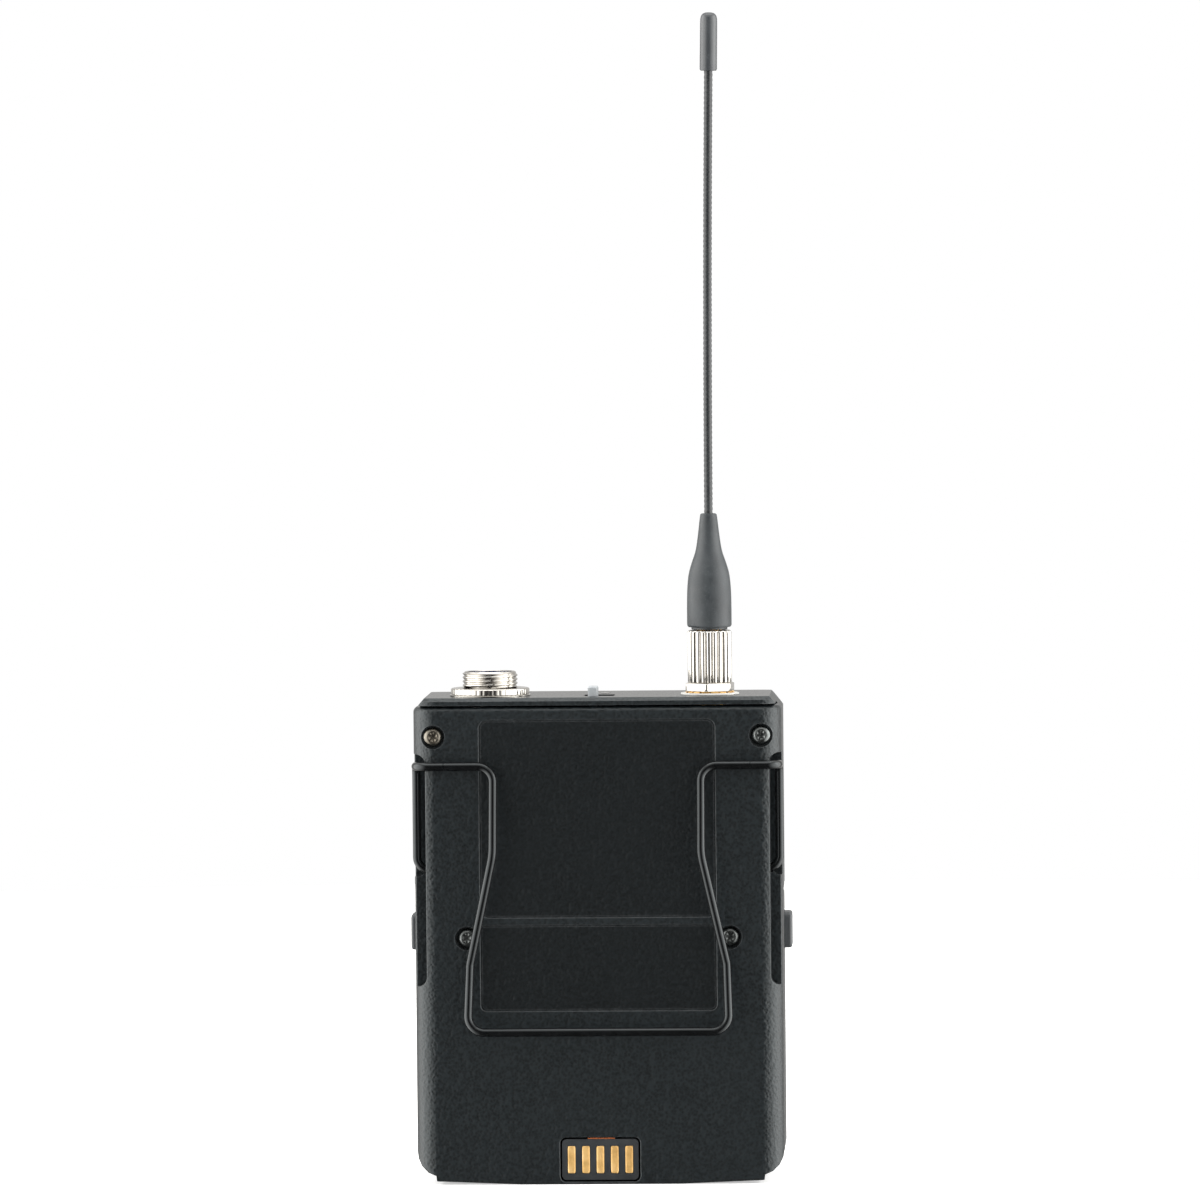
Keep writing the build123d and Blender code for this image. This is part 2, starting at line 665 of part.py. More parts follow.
# ---------------------------------------------------------------- battery compartment
TRAY_HALF_W = 28.3
with BuildPart() as battery_tray:
    with BuildSketch(Plane.YZ.offset(-TRAY_HALF_W)):
        with BuildLine():
            Polyline(
                (-4.3, 3.6),
                (5.75, 3.6),
                (5.75, 37.8),
                (-7.5, 37.8),
                (-7.5, 8.0),
                (-4.3, 8.0),
                close=True,
            )
        make_face()
    extrude(amount=2 * TRAY_HALF_W)
    with BuildSketch(Plane.YZ.offset(-TRAY_HALF_W + 1.0)):
        with BuildLine():
            Polyline(
                (-8.5, 4.6),
                (4.75, 4.6),
                (4.75, 36.8),
                (-8.5, 36.8),
                close=True,
            )
        make_face()
    extrude(amount=2 * TRAY_HALF_W - 2.0, mode=Mode.SUBTRACT)
save(battery_tray, "battery_tray")

PLATE_X = TRAY_HALF_W - 1.0
for name, side in (("battery_upper", 1), ("battery_lower", -1)):
    cap_end = PLATE_X - 0.6
    with BuildPart() as battery:
        with BuildSketch(Plane.YZ.offset(side * (cap_end - BATTERY_LENGTH))):
            with Locations((BATTERY_Y, BATTERY_Z[name])):
                Circle(BATTERY_R)
        extrude(amount=side * (BATTERY_LENGTH - 1.2))
        fillet(battery.edges().filter_by(GeomType.CIRCLE), radius=0.6)
        with BuildSketch(Plane.YZ.offset(side * (cap_end - 1.2))):
            with Locations((BATTERY_Y, BATTERY_Z[name])):
                Circle(2.7)
        extrude(amount=side * 1.2)
    save(battery, name)

with BuildPart() as battery_plates:
    # One long plate links the two cells; two short ones lead to the board.
    for side, spans in ((1, ((8.0, 32.5),)), (-1, ((8.0, 17.0), (23.3, 32.3)))):
        for low, high in spans:
            with BuildSketch(Plane.YZ.offset(side * PLATE_X)):
                with Locations((BATTERY_Y, (low + high) / 2)):
                    RectangleRounded(8.0, high - low, 1.0)
            extrude(amount=-side * 0.3)
save(battery_plates, "battery_plates")

with BuildPart() as battery_springs:
    for side, z in ((-1, BATTERY_Z["battery_upper"]), (1, BATTERY_Z["battery_lower"])):
        start = PLATE_X - 0.3 - 0.35
        for turn in range(3):
            ring_x = side * (start - turn * 0.75)
            with BuildSketch(Plane.XY.offset(z)):
                with Locations((ring_x, BATTERY_Y + 4.2 - 0.6 * turn)):
                    Circle(0.3)
            revolve(axis=Axis((ring_x, BATTERY_Y, z), (1, 0, 0)), revolution_arc=360)
            if turn:
                with BuildSketch(Plane.YZ.offset(ring_x)):
                    with Locations((BATTERY_Y, z + 4.5 - 0.6 * turn)):
                        Rectangle(0.5, 0.7)
                extrude(amount=side * 0.75)
save(battery_springs, "battery_springs")

# ---------------------------------------------------------------- microphone connector
JACK_AXIS = Axis((JACK_X, JACK_Y, 0), (0, 0, 1))
JACK_PROFILE = Plane((JACK_X, JACK_Y, 0), x_dir=(1, 0, 0), z_dir=(0, -1, 0))
JACK_BORE_R = 4.0
JACK_SHANK_R = 4.6     # plain neck under the thread
JACK_BODY_R = 4.5      # solder cup inside the case
JACK_THREAD_LOW = 87.6


def jack_plan(z):
    """Plane across the microphone connector at height z."""
    return Plane((JACK_X, JACK_Y, z))


with BuildPart() as mic_jack_shell:
    with BuildSketch(JACK_PROFILE):
        with BuildLine():
            Polyline(
                (0, 70.0),
                (JACK_BODY_R, 70.0),
                (JACK_BODY_R, 80.9),
                (6.2, 80.9),
                (6.2, 82.8),
                (JACK_SHANK_R, 82.8),
                (JACK_SHANK_R, JACK_THREAD_LOW),
                (JACK_R, JACK_THREAD_LOW),
                (JACK_R, JACK_TOP - 0.3),
                (JACK_R - 0.3, JACK_TOP),
                (JACK_BORE_R, JACK_TOP),
                (JACK_BORE_R, 72.0),
                (0, 72.0),
                close=True,
            )
        make_face()
    revolve(axis=JACK_AXIS)
    with BuildSketch(jack_plan(69)):
        with PolarLocations(2.0, 4, start_angle=45):
            Circle(0.75)
    extrude(amount=4, mode=Mode.SUBTRACT)
save(mic_jack_shell, "mic_jack_shell")

with BuildPart() as mic_jack_insulator:
    with BuildSketch(jack_plan(72.0)):
        Circle(JACK_BORE_R - 0.02)
    extrude(amount=17.6)
    with BuildSketch(jack_plan(84.5)):
        Circle(3.3)
    extrude(amount=6, mode=Mode.SUBTRACT)
    with BuildSketch(jack_plan(71)):
        with PolarLocations(2.0, 4, start_angle=45):
            Circle(0.55)
    extrude(amount=15, mode=Mode.SUBTRACT)
save(mic_jack_insulator, "mic_jack_insulator")

with BuildPart() as mic_jack_pins:
    with BuildSketch(jack_plan(67.5)):
        with PolarLocations(2.0, 4, start_angle=45):
            Circle(0.5)
    extrude(amount=21.0)
    fillet(mic_jack_pins.faces().sort_by(Axis.Z)[-4:].edges(), radius=0.3)
save(mic_jack_pins, "mic_jack_pins")

with BuildPart() as mic_jack_washer:
    with BuildSketch(jack_plan(HEIGHT)):
        Circle(7.15)
        Circle(JACK_R + 0.08, mode=Mode.SUBTRACT)
    extrude(amount=0.25)
save(mic_jack_washer, "mic_jack_washer")

with BuildPart() as mic_jack_ring:
    with BuildSketch(jack_plan(HEIGHT + 0.25)):
        Circle(6.95)
        Circle(JACK_R + 0.03, mode=Mode.SUBTRACT)
    extrude(amount=1.15)
    ring_top = mic_jack_ring.faces().sort_by(Axis.Z)[-1]
    chamfer(ring_top.edges().sort_by(SortBy.LENGTH)[-1], length=0.2)
save(mic_jack_ring, "mic_jack_ring")

# ---------------------------------------------------------------- power switch
SLIDER_TOP = 87.6
RECESS_FLOOR = HEIGHT - 0.9
with BuildPart() as power_slider:
    with BuildSketch(Plane.XY.offset(RECESS_FLOOR + 0.1)):
        with Locations((SLIDER_X, SWITCH_Y)):
            RectangleRounded(1.75, 4.2, 0.4)
    extrude(amount=SLIDER_TOP - RECESS_FLOOR - 0.1)
    fillet(power_slider.faces().sort_by(Axis.Z)[-1].edges(), radius=0.25)
    with BuildSketch(Plane.XY.offset(82.1)):
        with Locations((SLIDER_X, SWITCH_Y)):
            Rectangle(1.4, 1.5)
    extrude(amount=RECESS_FLOOR + 0.1 - 82.1)
save(power_slider, "power_slider")

with BuildPart() as power_switch_body:
    with BuildSketch(Plane.XY.offset(78.8)):
        with Locations((SWITCH_X, SWITCH_Y)):
            Rectangle(9.0, 5.1)
    extrude(amount=CAVITY_TOP - 78.8)
    with BuildSketch(Plane.XY.offset(CAVITY_TOP)):
        with Locations((SWITCH_X, SWITCH_Y)):
            Rectangle(SWITCH_SLOT - 0.3, 1.9)
    extrude(amount=-1.1, mode=Mode.SUBTRACT)
save(power_switch_body, "power_switch_body")

with BuildPart() as power_led_lens:
    with BuildSketch(Plane.XY.offset(80.0)):
        with Locations((SWITCH_X - 0.7, -3.1)):
            Circle(0.9)
    extrude(amount=HEIGHT + 0.05 - 80.0)
save(power_led_lens, "power_led_lens")

# ---------------------------------------------------------------- antenna connector
SMA_AXIS = Axis((SMA_X, SMA_Y, 0), (0, 0, 1))
SMA_PROFILE = Plane((SMA_X, SMA_Y, 0), x_dir=(1, 0, 0), z_dir=(0, -1, 0))
SMA_TOP = 93.0


def sma_plan(z):
    """Plane across the antenna connector at height z."""
    return Plane((SMA_X, SMA_Y, z))


with BuildPart() as sma_jack:
    with BuildSketch(SMA_PROFILE):
        with BuildLine():
            Polyline(
                (0, 77.0),
                (2.4, 77.0),
                (2.4, 81.2),
                (4.4, 81.2),
                (4.4, 82.8),
                (THREAD_R, 82.8),
                (THREAD_R, SMA_TOP - 0.3),
                (THREAD_R - 0.3, SMA_TOP),
                (2.3, SMA_TOP),
                (2.3, 84.0),
                (0, 84.0),
                close=True,
            )
        make_face()
    revolve(axis=SMA_AXIS)
save(sma_jack, "sma_jack")

with BuildPart() as sma_insulator:
    with BuildSketch(sma_plan(84.0)):
        Circle(2.28)
    extrude(amount=8.4)
    with BuildSketch(sma_plan(92.4)):
        Circle(0.52)
    extrude(amount=-5.0, mode=Mode.SUBTRACT)
save(sma_insulator, "sma_insulator")

for name, low, thickness, outer_r in (
    ("sma_washer", HEIGHT, 0.35, 5.15),
    ("sma_lock_ring", HEIGHT + 0.35, 0.25, 4.3),
):
    with BuildPart() as ring:
        with BuildSketch(sma_plan(low)):
            Circle(outer_r)
            Circle(THREAD_R + 0.06, mode=Mode.SUBTRACT)
        extrude(amount=thickness)
    save(ring, name)

NUT_FLATS = 8.0
with BuildPart() as sma_hex_nut:
    with BuildSketch(sma_plan(HEIGHT + 0.6)):
        RegularPolygon(radius=NUT_FLATS / math.sqrt(3), side_count=6, rotation=23)
        Circle(THREAD_R + 0.03, mode=Mode.SUBTRACT)
    extrude(amount=1.5)
save(sma_hex_nut, "sma_hex_nut")

# ---------------------------------------------------------------- antenna
FLUTES = 22
FERRULE_R = 2.3
with BuildPart() as antenna_nut:
    with BuildSketch(sma_plan(NUT_LOW)):
        Circle(3.9)
        with PolarLocations(4.0, FLUTES):
            Circle(0.24, mode=Mode.SUBTRACT)
        Circle(FERRULE_R + 0.08, mode=Mode.SUBTRACT)
    extrude(amount=NUT_HIGH - NUT_LOW)
    with BuildSketch(sma_plan(NUT_LOW)):
        Circle(THREAD_R + 0.08)
    extrude(amount=94.4 - NUT_LOW, mode=Mode.SUBTRACT)
save(antenna_nut, "antenna_nut")

BOOT_LOW = 97.9
with BuildPart() as antenna_ferrule:
    with BuildSketch(SMA_PROFILE):
        with BuildLine():
            Polyline(
                (1.6, 93.2),
                (2.95, 93.2),
                (2.95, 94.1),
                (FERRULE_R, 94.1),
                (FERRULE_R, 104.0),
                (1.6, 104.0),
                close=True,
            )
        make_face()
    revolve(axis=SMA_AXIS)
save(antenna_ferrule, "antenna_ferrule")

with BuildPart() as antenna_dielectric:
    with BuildSketch(sma_plan(93.6)):
        Circle(1.58)
        Circle(0.47, mode=Mode.SUBTRACT)
    extrude(amount=10.4)
save(antenna_dielectric, "antenna_dielectric")

with BuildPart() as antenna_pin:
    with BuildSketch(sma_plan(89.0)):
        Circle(0.45)
    extrude(amount=14.9)
    fillet(antenna_pin.faces().sort_by(Axis.Z)[0].edges(), radius=0.2)
save(antenna_pin, "antenna_pin")

with BuildPart() as antenna_boot:
    with BuildSketch(SMA_PROFILE):
        with BuildLine():
            foot = Polyline(
                (WIRE_R + 0.02, WHIP_BOTTOM),
                (WIRE_R + 0.02, 104.05),
                (FERRULE_R + 0.02, 104.05),
                (FERRULE_R + 0.02, 97.6),
                (3.2, 97.6),
                (3.2, BOOT_LOW),
                (3.7, BOOT_LOW),
                (3.95, BOOT_LOW + 0.4),
                (3.95, 103.8),
            )
            taper = Spline(
                foot @ 1,
                (3.87, 106.0),
                (3.72, 107.5),
                (3.32, 109.1),
                (2.5, 110.6),
                (2.07, 112.7),
                (1.5, WHIP_BOTTOM - 0.2),
                tangents=((0, 1), (-0.11, 1)),
            )
            Polyline(taper @ 1, (1.3, WHIP_BOTTOM), (WIRE_R + 0.02, WHIP_BOTTOM))
        make_face()
    revolve(axis=SMA_AXIS)
save(antenna_boot, "antenna_boot")

whip_rise = WHIP_TOP - WHIP_BOTTOM
whip_tilt = math.degrees(2 * math.atan(WHIP_LEAN / whip_rise))
TIP_PLANE = Plane(
    (SMA_X - WHIP_LEAN, SMA_Y, WHIP_TOP),
    x_dir=(math.cos(math.radians(whip_tilt)), 0, math.sin(math.radians(whip_tilt))),
    z_dir=(-math.sin(math.radians(whip_tilt)), 0, math.cos(math.radians(whip_tilt))),
)
with BuildPart() as antenna_whip:
    with BuildLine() as whip_path:
        stem = Line((SMA_X, SMA_Y, 104.1), (SMA_X, SMA_Y, WHIP_BOTTOM))
        TangentArc(stem @ 1, TIP_PLANE.origin, tangent=stem % 1)
    with BuildSketch(sma_plan(104.1)):
        Circle(WIRE_R)
    sweep(path=whip_path.line)
save(antenna_whip, "antenna_whip")

TIP_R = 1.53
TIP_LENGTH = TIP_TOP - WHIP_TOP
with BuildPart() as antenna_tip:
    with BuildSketch(TIP_PLANE.offset(-0.9)):
        Circle(TIP_R)
    extrude(amount=TIP_LENGTH + 0.9)
    fillet(antenna_tip.faces().sort_by(Axis.Z)[-1].edges(), radius=0.9)
    fillet(antenna_tip.faces().sort_by(Axis.Z)[0].edges(), radius=0.3)
    with BuildSketch(TIP_PLANE.offset(-2)):
        Circle(WIRE_R + 0.04)
    extrude(amount=2.02, mode=Mode.SUBTRACT)
save(antenna_tip, "antenna_tip")

# ---------------------------------------------------------------- charging contacts
with BuildPart() as contact_block:
    with BuildSketch(BACK.offset(-0.2)):
        with Locations((0, (BLOCK_LOW + BLOCK_HIGH) / 2)):
            RectangleRounded(2 * BLOCK_HALF_W, BLOCK_HIGH - BLOCK_LOW, 0.8)
    extrude(amount=-2.9)
    with BuildSketch(BACK):
        with Locations((0, 4.375)):
            with GridLocations(CONTACT_PITCH, 1, CONTACT_COUNT, 1):
                Rectangle(1.44, 4.89)
    extrude(amount=-1.0, mode=Mode.SUBTRACT)
save(contact_block, "contact_block")

with BuildPart() as charging_contacts:
    with BuildSketch(BACK.offset(-1.0)):
        with Locations((0, 4.375)):
            with GridLocations(CONTACT_PITCH, 1, CONTACT_COUNT, 1):
                Rectangle(1.4, 4.85)
    extrude(amount=0.85)
save(charging_contacts, "charging_contacts")

with BuildPart() as contact_flex:
    with BuildSketch(Plane.YZ.offset(-2.6)):
        with BuildLine():
            Polyline(
                (HALF_D - 0.2, BLOCK_HIGH + 0.04),
                (HALF_D - 0.2, BLOCK_HIGH + 0.24),
                (8.15, BLOCK_HIGH + 0.24),
                (8.15, 14.0),
                (7.85, 14.0),
                (7.85, BLOCK_HIGH + 0.04),
                close=True,
            )
        make_face()
    extrude(amount=4.8)
save(contact_flex, "contact_flex")

# ---------------------------------------------------------------- wire belt clip
for name, side in (("clip_arm_left", 1), ("clip_arm_right", -1)):
    with BuildPart() as arm:
        with BuildLine() as arm_path:
            FilletPolyline(
                (side * (CAVITY_HALF_W + 0.2), CLIP_PIVOT_Y, CLIP_PIVOT_Z),
                (side * CLIP_ARM_X, CLIP_PIVOT_Y, CLIP_PIVOT_Z),
                (side * CLIP_ARM_X, CLIP_PIVOT_Y, CLIP_TOP_Z),
                (side * CLIP_ARM_X, CLIP_TOP_Y, CLIP_TOP_Z),
                (side * (CLIP_SPLIT_X + 0.05), CLIP_TOP_Y, CLIP_TOP_Z),
                radius=(CLIP_FOOT_R, 1.6, 2.2),
            )
        with BuildSketch(Plane(arm_path.line @ 0, z_dir=arm_path.line % 0)):
            Circle(WIRE_R)
        sweep(path=arm_path.line)
    save(arm, name)

# Bends of the loop from its left end to the middle of its lower bar.
LOOP_BENDS = (
    (18.3, CLIP_TOP_Y, CLIP_TOP_Z, 2.8),
    (18.3, 16.0, 58.6, 6.0),
    (22.6, 13.0, 39.1, 2.0),
    (23.0, 15.4, 27.3, 2.9),
)
with BuildPart() as clip_loop:
    left_half = [(x, y, z) for x, y, z, radius in LOOP_BENDS]
    right_half = [(-x, y, z) for x, y, z in reversed(left_half)]
    bend_radii = [radius for x, y, z, radius in LOOP_BENDS]
    with BuildLine() as loop_path:
        FilletPolyline(
            (CLIP_SPLIT_X - 0.05, CLIP_TOP_Y, CLIP_TOP_Z),
            *left_half,
            *right_half,
            (-CLIP_SPLIT_X + 0.05, CLIP_TOP_Y, CLIP_TOP_Z),
            radius=bend_radii + bend_radii[::-1],
        )
    with BuildSketch(Plane(loop_path.line @ 0, z_dir=loop_path.line % 0)):
        Circle(WIRE_R)
    sweep(path=loop_path.line)
save(clip_loop, "clip_loop")
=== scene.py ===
import json
import math

import bmesh
import bpy
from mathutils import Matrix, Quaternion, Vector


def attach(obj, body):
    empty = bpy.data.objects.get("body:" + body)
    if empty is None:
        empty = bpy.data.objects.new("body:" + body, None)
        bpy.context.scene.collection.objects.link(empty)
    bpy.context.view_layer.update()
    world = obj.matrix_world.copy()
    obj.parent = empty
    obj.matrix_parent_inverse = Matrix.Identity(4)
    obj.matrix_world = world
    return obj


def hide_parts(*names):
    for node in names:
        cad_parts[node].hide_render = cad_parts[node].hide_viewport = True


# Wireless microphone bodypack transmitter, seen from behind. Metres, in the CAD model's frame:
# +Z up, the front faces -Y, the back with its wire clip faces +Y.

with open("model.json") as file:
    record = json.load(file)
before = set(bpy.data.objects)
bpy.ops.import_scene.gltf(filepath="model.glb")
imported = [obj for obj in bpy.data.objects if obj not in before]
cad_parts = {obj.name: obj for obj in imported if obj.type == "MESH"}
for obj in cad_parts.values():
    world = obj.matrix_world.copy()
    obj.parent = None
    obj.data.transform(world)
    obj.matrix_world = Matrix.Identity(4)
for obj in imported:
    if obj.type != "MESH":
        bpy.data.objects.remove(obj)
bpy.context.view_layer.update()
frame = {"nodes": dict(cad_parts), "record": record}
MM = 0.001
NODE_BODY = {node: body for body, nodes in frame["record"]["behaviour"]["bodies"].items() for node in nodes}
NODE_SLOT = {part["node"]: part["material_slot"] for part in frame["record"]["subparts"]}


# ---------------------------------------------------------------- material helpers
class Shader:
    """A Principled material and the nodes that feed it, in object coordinates."""

    def __init__(self, name, **settings):
        self.material = bpy.data.materials.new(name)
        self.material.use_nodes = True
        self.nodes = self.material.node_tree.nodes
        self.links = self.material.node_tree.links
        self.bsdf = self.nodes["Principled BSDF"]
        self.where = self.nodes.new("ShaderNodeTexCoord").outputs["Object"]
        self.heights = []
        for socket, value in settings.items():
            self.bsdf.inputs[socket.replace("_", " ")].default_value = value

    def node(self, kind, **settings):
        made = self.nodes.new(kind)
        for name, value in settings.items():
            setattr(made, name, value)
        return made

    def join(self, source, target):
        self.links.new(source, target)

    def stretched(self, x=1.0, y=1.0, z=1.0):
        """Object coordinates scaled along each axis."""
        mapping = self.node("ShaderNodeMapping")
        mapping.inputs["Scale"].default_value = (x, y, z)
        self.join(self.where, mapping.inputs["Vector"])
        return mapping.outputs["Vector"]

    def noise(self, scale, detail=3.0, rough=0.55, where=None):
        """Noise whose features are about 1/scale metres across."""
        made = self.node("ShaderNodeTexNoise")
        made.inputs["Scale"].default_value = scale
        made.inputs["Detail"].default_value = detail
        made.inputs["Roughness"].default_value = rough
        self.join(where or self.where, made.inputs["Vector"])
        return made.outputs["Fac"]

    def cells(self, scale, feature="F1", where=None):
        made = self.node("ShaderNodeTexVoronoi", feature=feature)
        made.inputs["Scale"].default_value = scale
        self.join(where or self.where, made.inputs["Vector"])
        return made.outputs["Distance"]

    def bands(self, scale, axis="Z", kind="SIN", distortion=0.0, where=None):
        made = self.node("ShaderNodeTexWave", bands_direction=axis, wave_profile=kind)
        made.inputs["Scale"].default_value = scale
        made.inputs["Distortion"].default_value = distortion
        self.join(where or self.where, made.inputs["Vector"])
        return made.outputs["Fac"]

    def ramp(self, source, *stops):
        """Colour ramp with stops (position, colour or grey)."""
        made = self.node("ShaderNodeValToRGB")
        elements = made.color_ramp.elements
        while len(elements) < len(stops):
            elements.new(0.5)
        for element, (position, colour) in zip(elements, stops):
            element.position = position
            element.color = (*colour, 1.0) if isinstance(colour, tuple) else (colour, colour, colour, 1.0)
        self.join(source, made.inputs["Fac"])
        return made.outputs["Color"]

    def mix(self, factor, first, second, blend="MIX"):
        """Mix of two colours; each is a socket or a colour."""
        made = self.node("ShaderNodeMix", data_type="RGBA", blend_type=blend)
        for socket, value in ((made.inputs[0], factor), (made.inputs[6], first), (made.inputs[7], second)):
            if isinstance(value, bpy.types.NodeSocket):
                self.join(value, socket)
            elif isinstance(value, tuple):
                socket.default_value = (*value, 1.0)
            else:
                socket.default_value = value
        return made.outputs[2]

    def edges(self, radius):
        """1 along outer and inner edges, 0 on open faces: how far a rounded normal turns from the true one."""
        rounded = self.node("ShaderNodeBevel", samples=4)
        rounded.inputs["Radius"].default_value = radius
        geometry = self.node("ShaderNodeNewGeometry")
        turn = self.node("ShaderNodeVectorMath", operation="DOT_PRODUCT")
        self.join(rounded.outputs["Normal"], turn.inputs[0])
        self.join(geometry.outputs["Normal"], turn.inputs[1])
        return self.ramp(turn.outputs["Value"], (0.90, 1.0), (0.995, 0.0))

    def upward(self):
        """1 on faces that look straight up, 0 on the rest."""
        geometry = self.node("ShaderNodeNewGeometry")
        parts = self.node("ShaderNodeSeparateXYZ")
        self.join(geometry.outputs["Normal"], parts.inputs[0])
        return self.ramp(parts.outputs["Z"], (0.93, 0.0), (0.97, 1.0))

    def colour(self, source):
        self.join(source, self.bsdf.inputs["Base Color"])

    def roughness(self, source, low, high):
        self.join(self.ramp(source, (0.3, low), (0.7, high)), self.bsdf.inputs["Roughness"])

    def bump(self, height, strength, distance):
        """Adds a bump layer; each layer bends the normal of the one before it."""
        made = self.node("ShaderNodeBump")
        made.inputs["Strength"].default_value = strength
        made.inputs["Distance"].default_value = distance
        self.join(height, made.inputs["Height"])
        if self.heights:
            self.join(self.heights[-1], made.inputs["Normal"])
        self.heights.append(made.outputs["Normal"])
        self.join(made.outputs["Normal"], self.bsdf.inputs["Normal"])


def painted_metal(name, dark, light, rough=(0.32, 0.38), grain=1.0):
    """Satin paint with a fine leather-like grain, lighter along its edges: partly worn paint, partly a painted edge
    highlight.
    """
    s = Shader(name, Specular_IOR_Level=0.42, Specular_Tint=(0.93, 0.985, 1.0, 1.0))
    cloud = s.noise(60, 4.0)
    tone = s.mix(s.ramp(cloud, (0.35, 0.0), (0.65, 1.0)), dark, light)
    pits = s.ramp(s.cells(1900, "F1"), (0.15, 0.0), (0.75, 1.0))
    flecked = s.mix(s.mix(pits, (0.0, 0.0, 0.0), (0.9, 0.9, 0.9)), tone, tuple(2.4 * c for c in light))
    rubbed = s.ramp(s.noise(700, 4.0), (0.35, 0.15), (0.7, 1.0))
    # Lighter grey band along every outer and inner edge, broken up by noise: partly worn paint, partly a painted edge
    # highlight
    edge_wear_and_highlight = s.mix(1.0, s.edges(0.00025), s.mix(0.5, rubbed, (0.3, 0.3, 0.3)), "MULTIPLY")
    s.colour(s.mix(edge_wear_and_highlight, flecked, (0.085, 0.09, 0.095)))
    upward = s.upward()
    satin = s.ramp(s.noise(1500, 3.0), (0.3, rough[0]), (0.7, rough[1]))
    polished = s.ramp(s.noise(1500, 3.0), (0.3, 0.20), (0.7, 0.26))
    s.join(s.mix(upward, satin, polished), s.bsdf.inputs["Roughness"])
    for height, strength, distance in (
        (s.cells(1900, "SMOOTH_F1"), 0.75, 0.00012),
        (s.noise(3200, 3.0), 0.55, 0.00006),
        (s.noise(800, 2.0), 0.20, 0.00016),
    ):
        s.bump(s.mix(upward, height, (0.5, 0.5, 0.5)), strength * grain, distance)
    return s.material


def moulded_plastic(name, dark, light, rough=(0.35, 0.5), grain=5000, depth=0.25):
    s = Shader(name, Specular_IOR_Level=0.5)
    tone = s.ramp(s.noise(140, 4.0), (0.35, dark), (0.65, light))
    s.colour(s.mix(s.ramp(s.noise(grain, 1.0), (0.62, 0.0), (0.8, 0.4)), tone, tuple(1.6 * c for c in light)))
    s.roughness(s.noise(700, 3.0), *rough)
    s.bump(s.noise(grain, 2.0), depth, 0.00003)
    return s.material


def turned_metal(name, dark, light, rough=(0.12, 0.22), lines=(60, 60, 9000)):
    """Plated metal with fine lathe or brush lines; lines gives their density along each axis."""
    s = Shader(name, Metallic=1.0)
    marks = s.noise(1.0, 4.0, where=s.stretched(*lines))
    blotch = s.noise(260, 3.0)
    tone = s.mix(s.ramp(blotch, (0.35, 0.0), (0.65, 1.0)), dark, light)
    s.colour(s.mix(s.ramp(marks, (0.4, 0.0), (0.75, 0.25)), tone, tuple(0.6 * c for c in dark)))
    s.roughness(s.noise(1.0, 3.0, where=s.stretched(*lines)), *rough)
    s.bump(marks, 0.12, 0.00002)
    return s.material


def screw_metal(name):
    """Dark zinc plate; one screw of the four is from a bronze-tinted batch."""
    s = Shader(name, Metallic=1.0)
    tone = s.ramp(s.noise(900, 4.0), (0.3, (0.10, 0.108, 0.107)), (0.7, (0.21, 0.222, 0.22)))
    bronze = s.ramp(s.noise(700, 4.0), (0.3, (0.13, 0.113, 0.088)), (0.7, (0.26, 0.228, 0.178)))
    place = s.node("ShaderNodeVectorMath", operation="DISTANCE")
    place.inputs[1].default_value = (0.0289, 0.011, 0.07915)
    s.join(s.where, place.inputs[0])
    near = s.ramp(place.outputs["Value"], (0.003, 1.0), (0.004, 0.0))
    s.colour(s.mix(near, tone, bronze))
    s.roughness(s.noise(1600, 4.0), 0.22, 0.36)
    s.bump(s.noise(2600, 3.0), 0.25, 0.00003)
    return s.material


def gold_plate(name):
    """Thin satin gold plating."""
    s = Shader(name, Metallic=0.45)
    blotch = s.noise(420, 4.0)
    tone = s.ramp(blotch, (0.30, (0.50, 0.29, 0.09)), (0.5, (0.68, 0.42, 0.15)), (0.72, (0.80, 0.55, 0.25)))
    wear = s.ramp(s.noise(1.0, 5.0, where=s.stretched(3000, 3000, 260)), (0.6, 0.0), (0.72, 0.5))
    s.colour(s.mix(wear, tone, (0.55, 0.38, 0.2)))
    s.roughness(s.noise(1800, 4.0), 0.32, 0.45)
    s.bump(s.noise(2600, 3.0), 0.2, 0.00002)
    return s.material


def satin_rubber(name, dark, light, rough=(0.45, 0.62), grain=3500):
    s = Shader(name, Specular_IOR_Level=0.45)
    tone = s.ramp(s.noise(300, 5.0), (0.3, dark), (0.7, light))
    s.colour(s.mix(s.ramp(s.noise(grain, 2.0), (0.55, 0.0), (0.8, 0.35)), tone, tuple(1.9 * c for c in light)))
    s.roughness(s.noise(600, 4.0), *rough)
    s.bump(s.noise(grain, 3.0), 0.3, 0.00004)
    s.bump(s.noise(420, 3.0), 0.15, 0.0001)
    return s.material


def circuit_board(name):
    """Solder mask with faint tracks and pads."""
    s = Shader(name)
    tracks = s.ramp(s.cells(420, "DISTANCE_TO_EDGE"), (0.02, 1.0), (0.05, 0.0))
    pads = s.ramp(s.cells(700), (0.12, 1.0), (0.16, 0.0))
    mask = s.mix(tracks, (0.010, 0.070, 0.032), (0.022, 0.135, 0.062))
    s.colour(s.mix(s.mix(pads, (0.0, 0.0, 0.0), (0.8, 0.8, 0.8)), mask, (0.62, 0.60, 0.52)))
    s.roughness(s.noise(800), 0.25, 0.4)
    s.bump(tracks, 0.3, 0.00003)
    return s.material


def display_panel(name):
    """Unlit reflective display: a blank grey-green field of fine cells."""
    s = Shader(name)
    grid = s.ramp(s.bands(2600, "X"), (0.85, 0.0), (0.95, 1.0))
    rows = s.ramp(s.bands(2600, "Z"), (0.85, 0.0), (0.95, 1.0))
    cells = s.mix(0.5, grid, rows, "ADD")
    field = s.ramp(s.noise(40, 2.0), (0.3, (0.20, 0.235, 0.19)), (0.7, (0.26, 0.30, 0.235)))
    s.colour(s.mix(s.mix(cells, (0.0, 0.0, 0.0), (0.25, 0.25, 0.25)), field, (0.12, 0.14, 0.12)))
    s.roughness(s.noise(500), 0.15, 0.25)
    return s.material


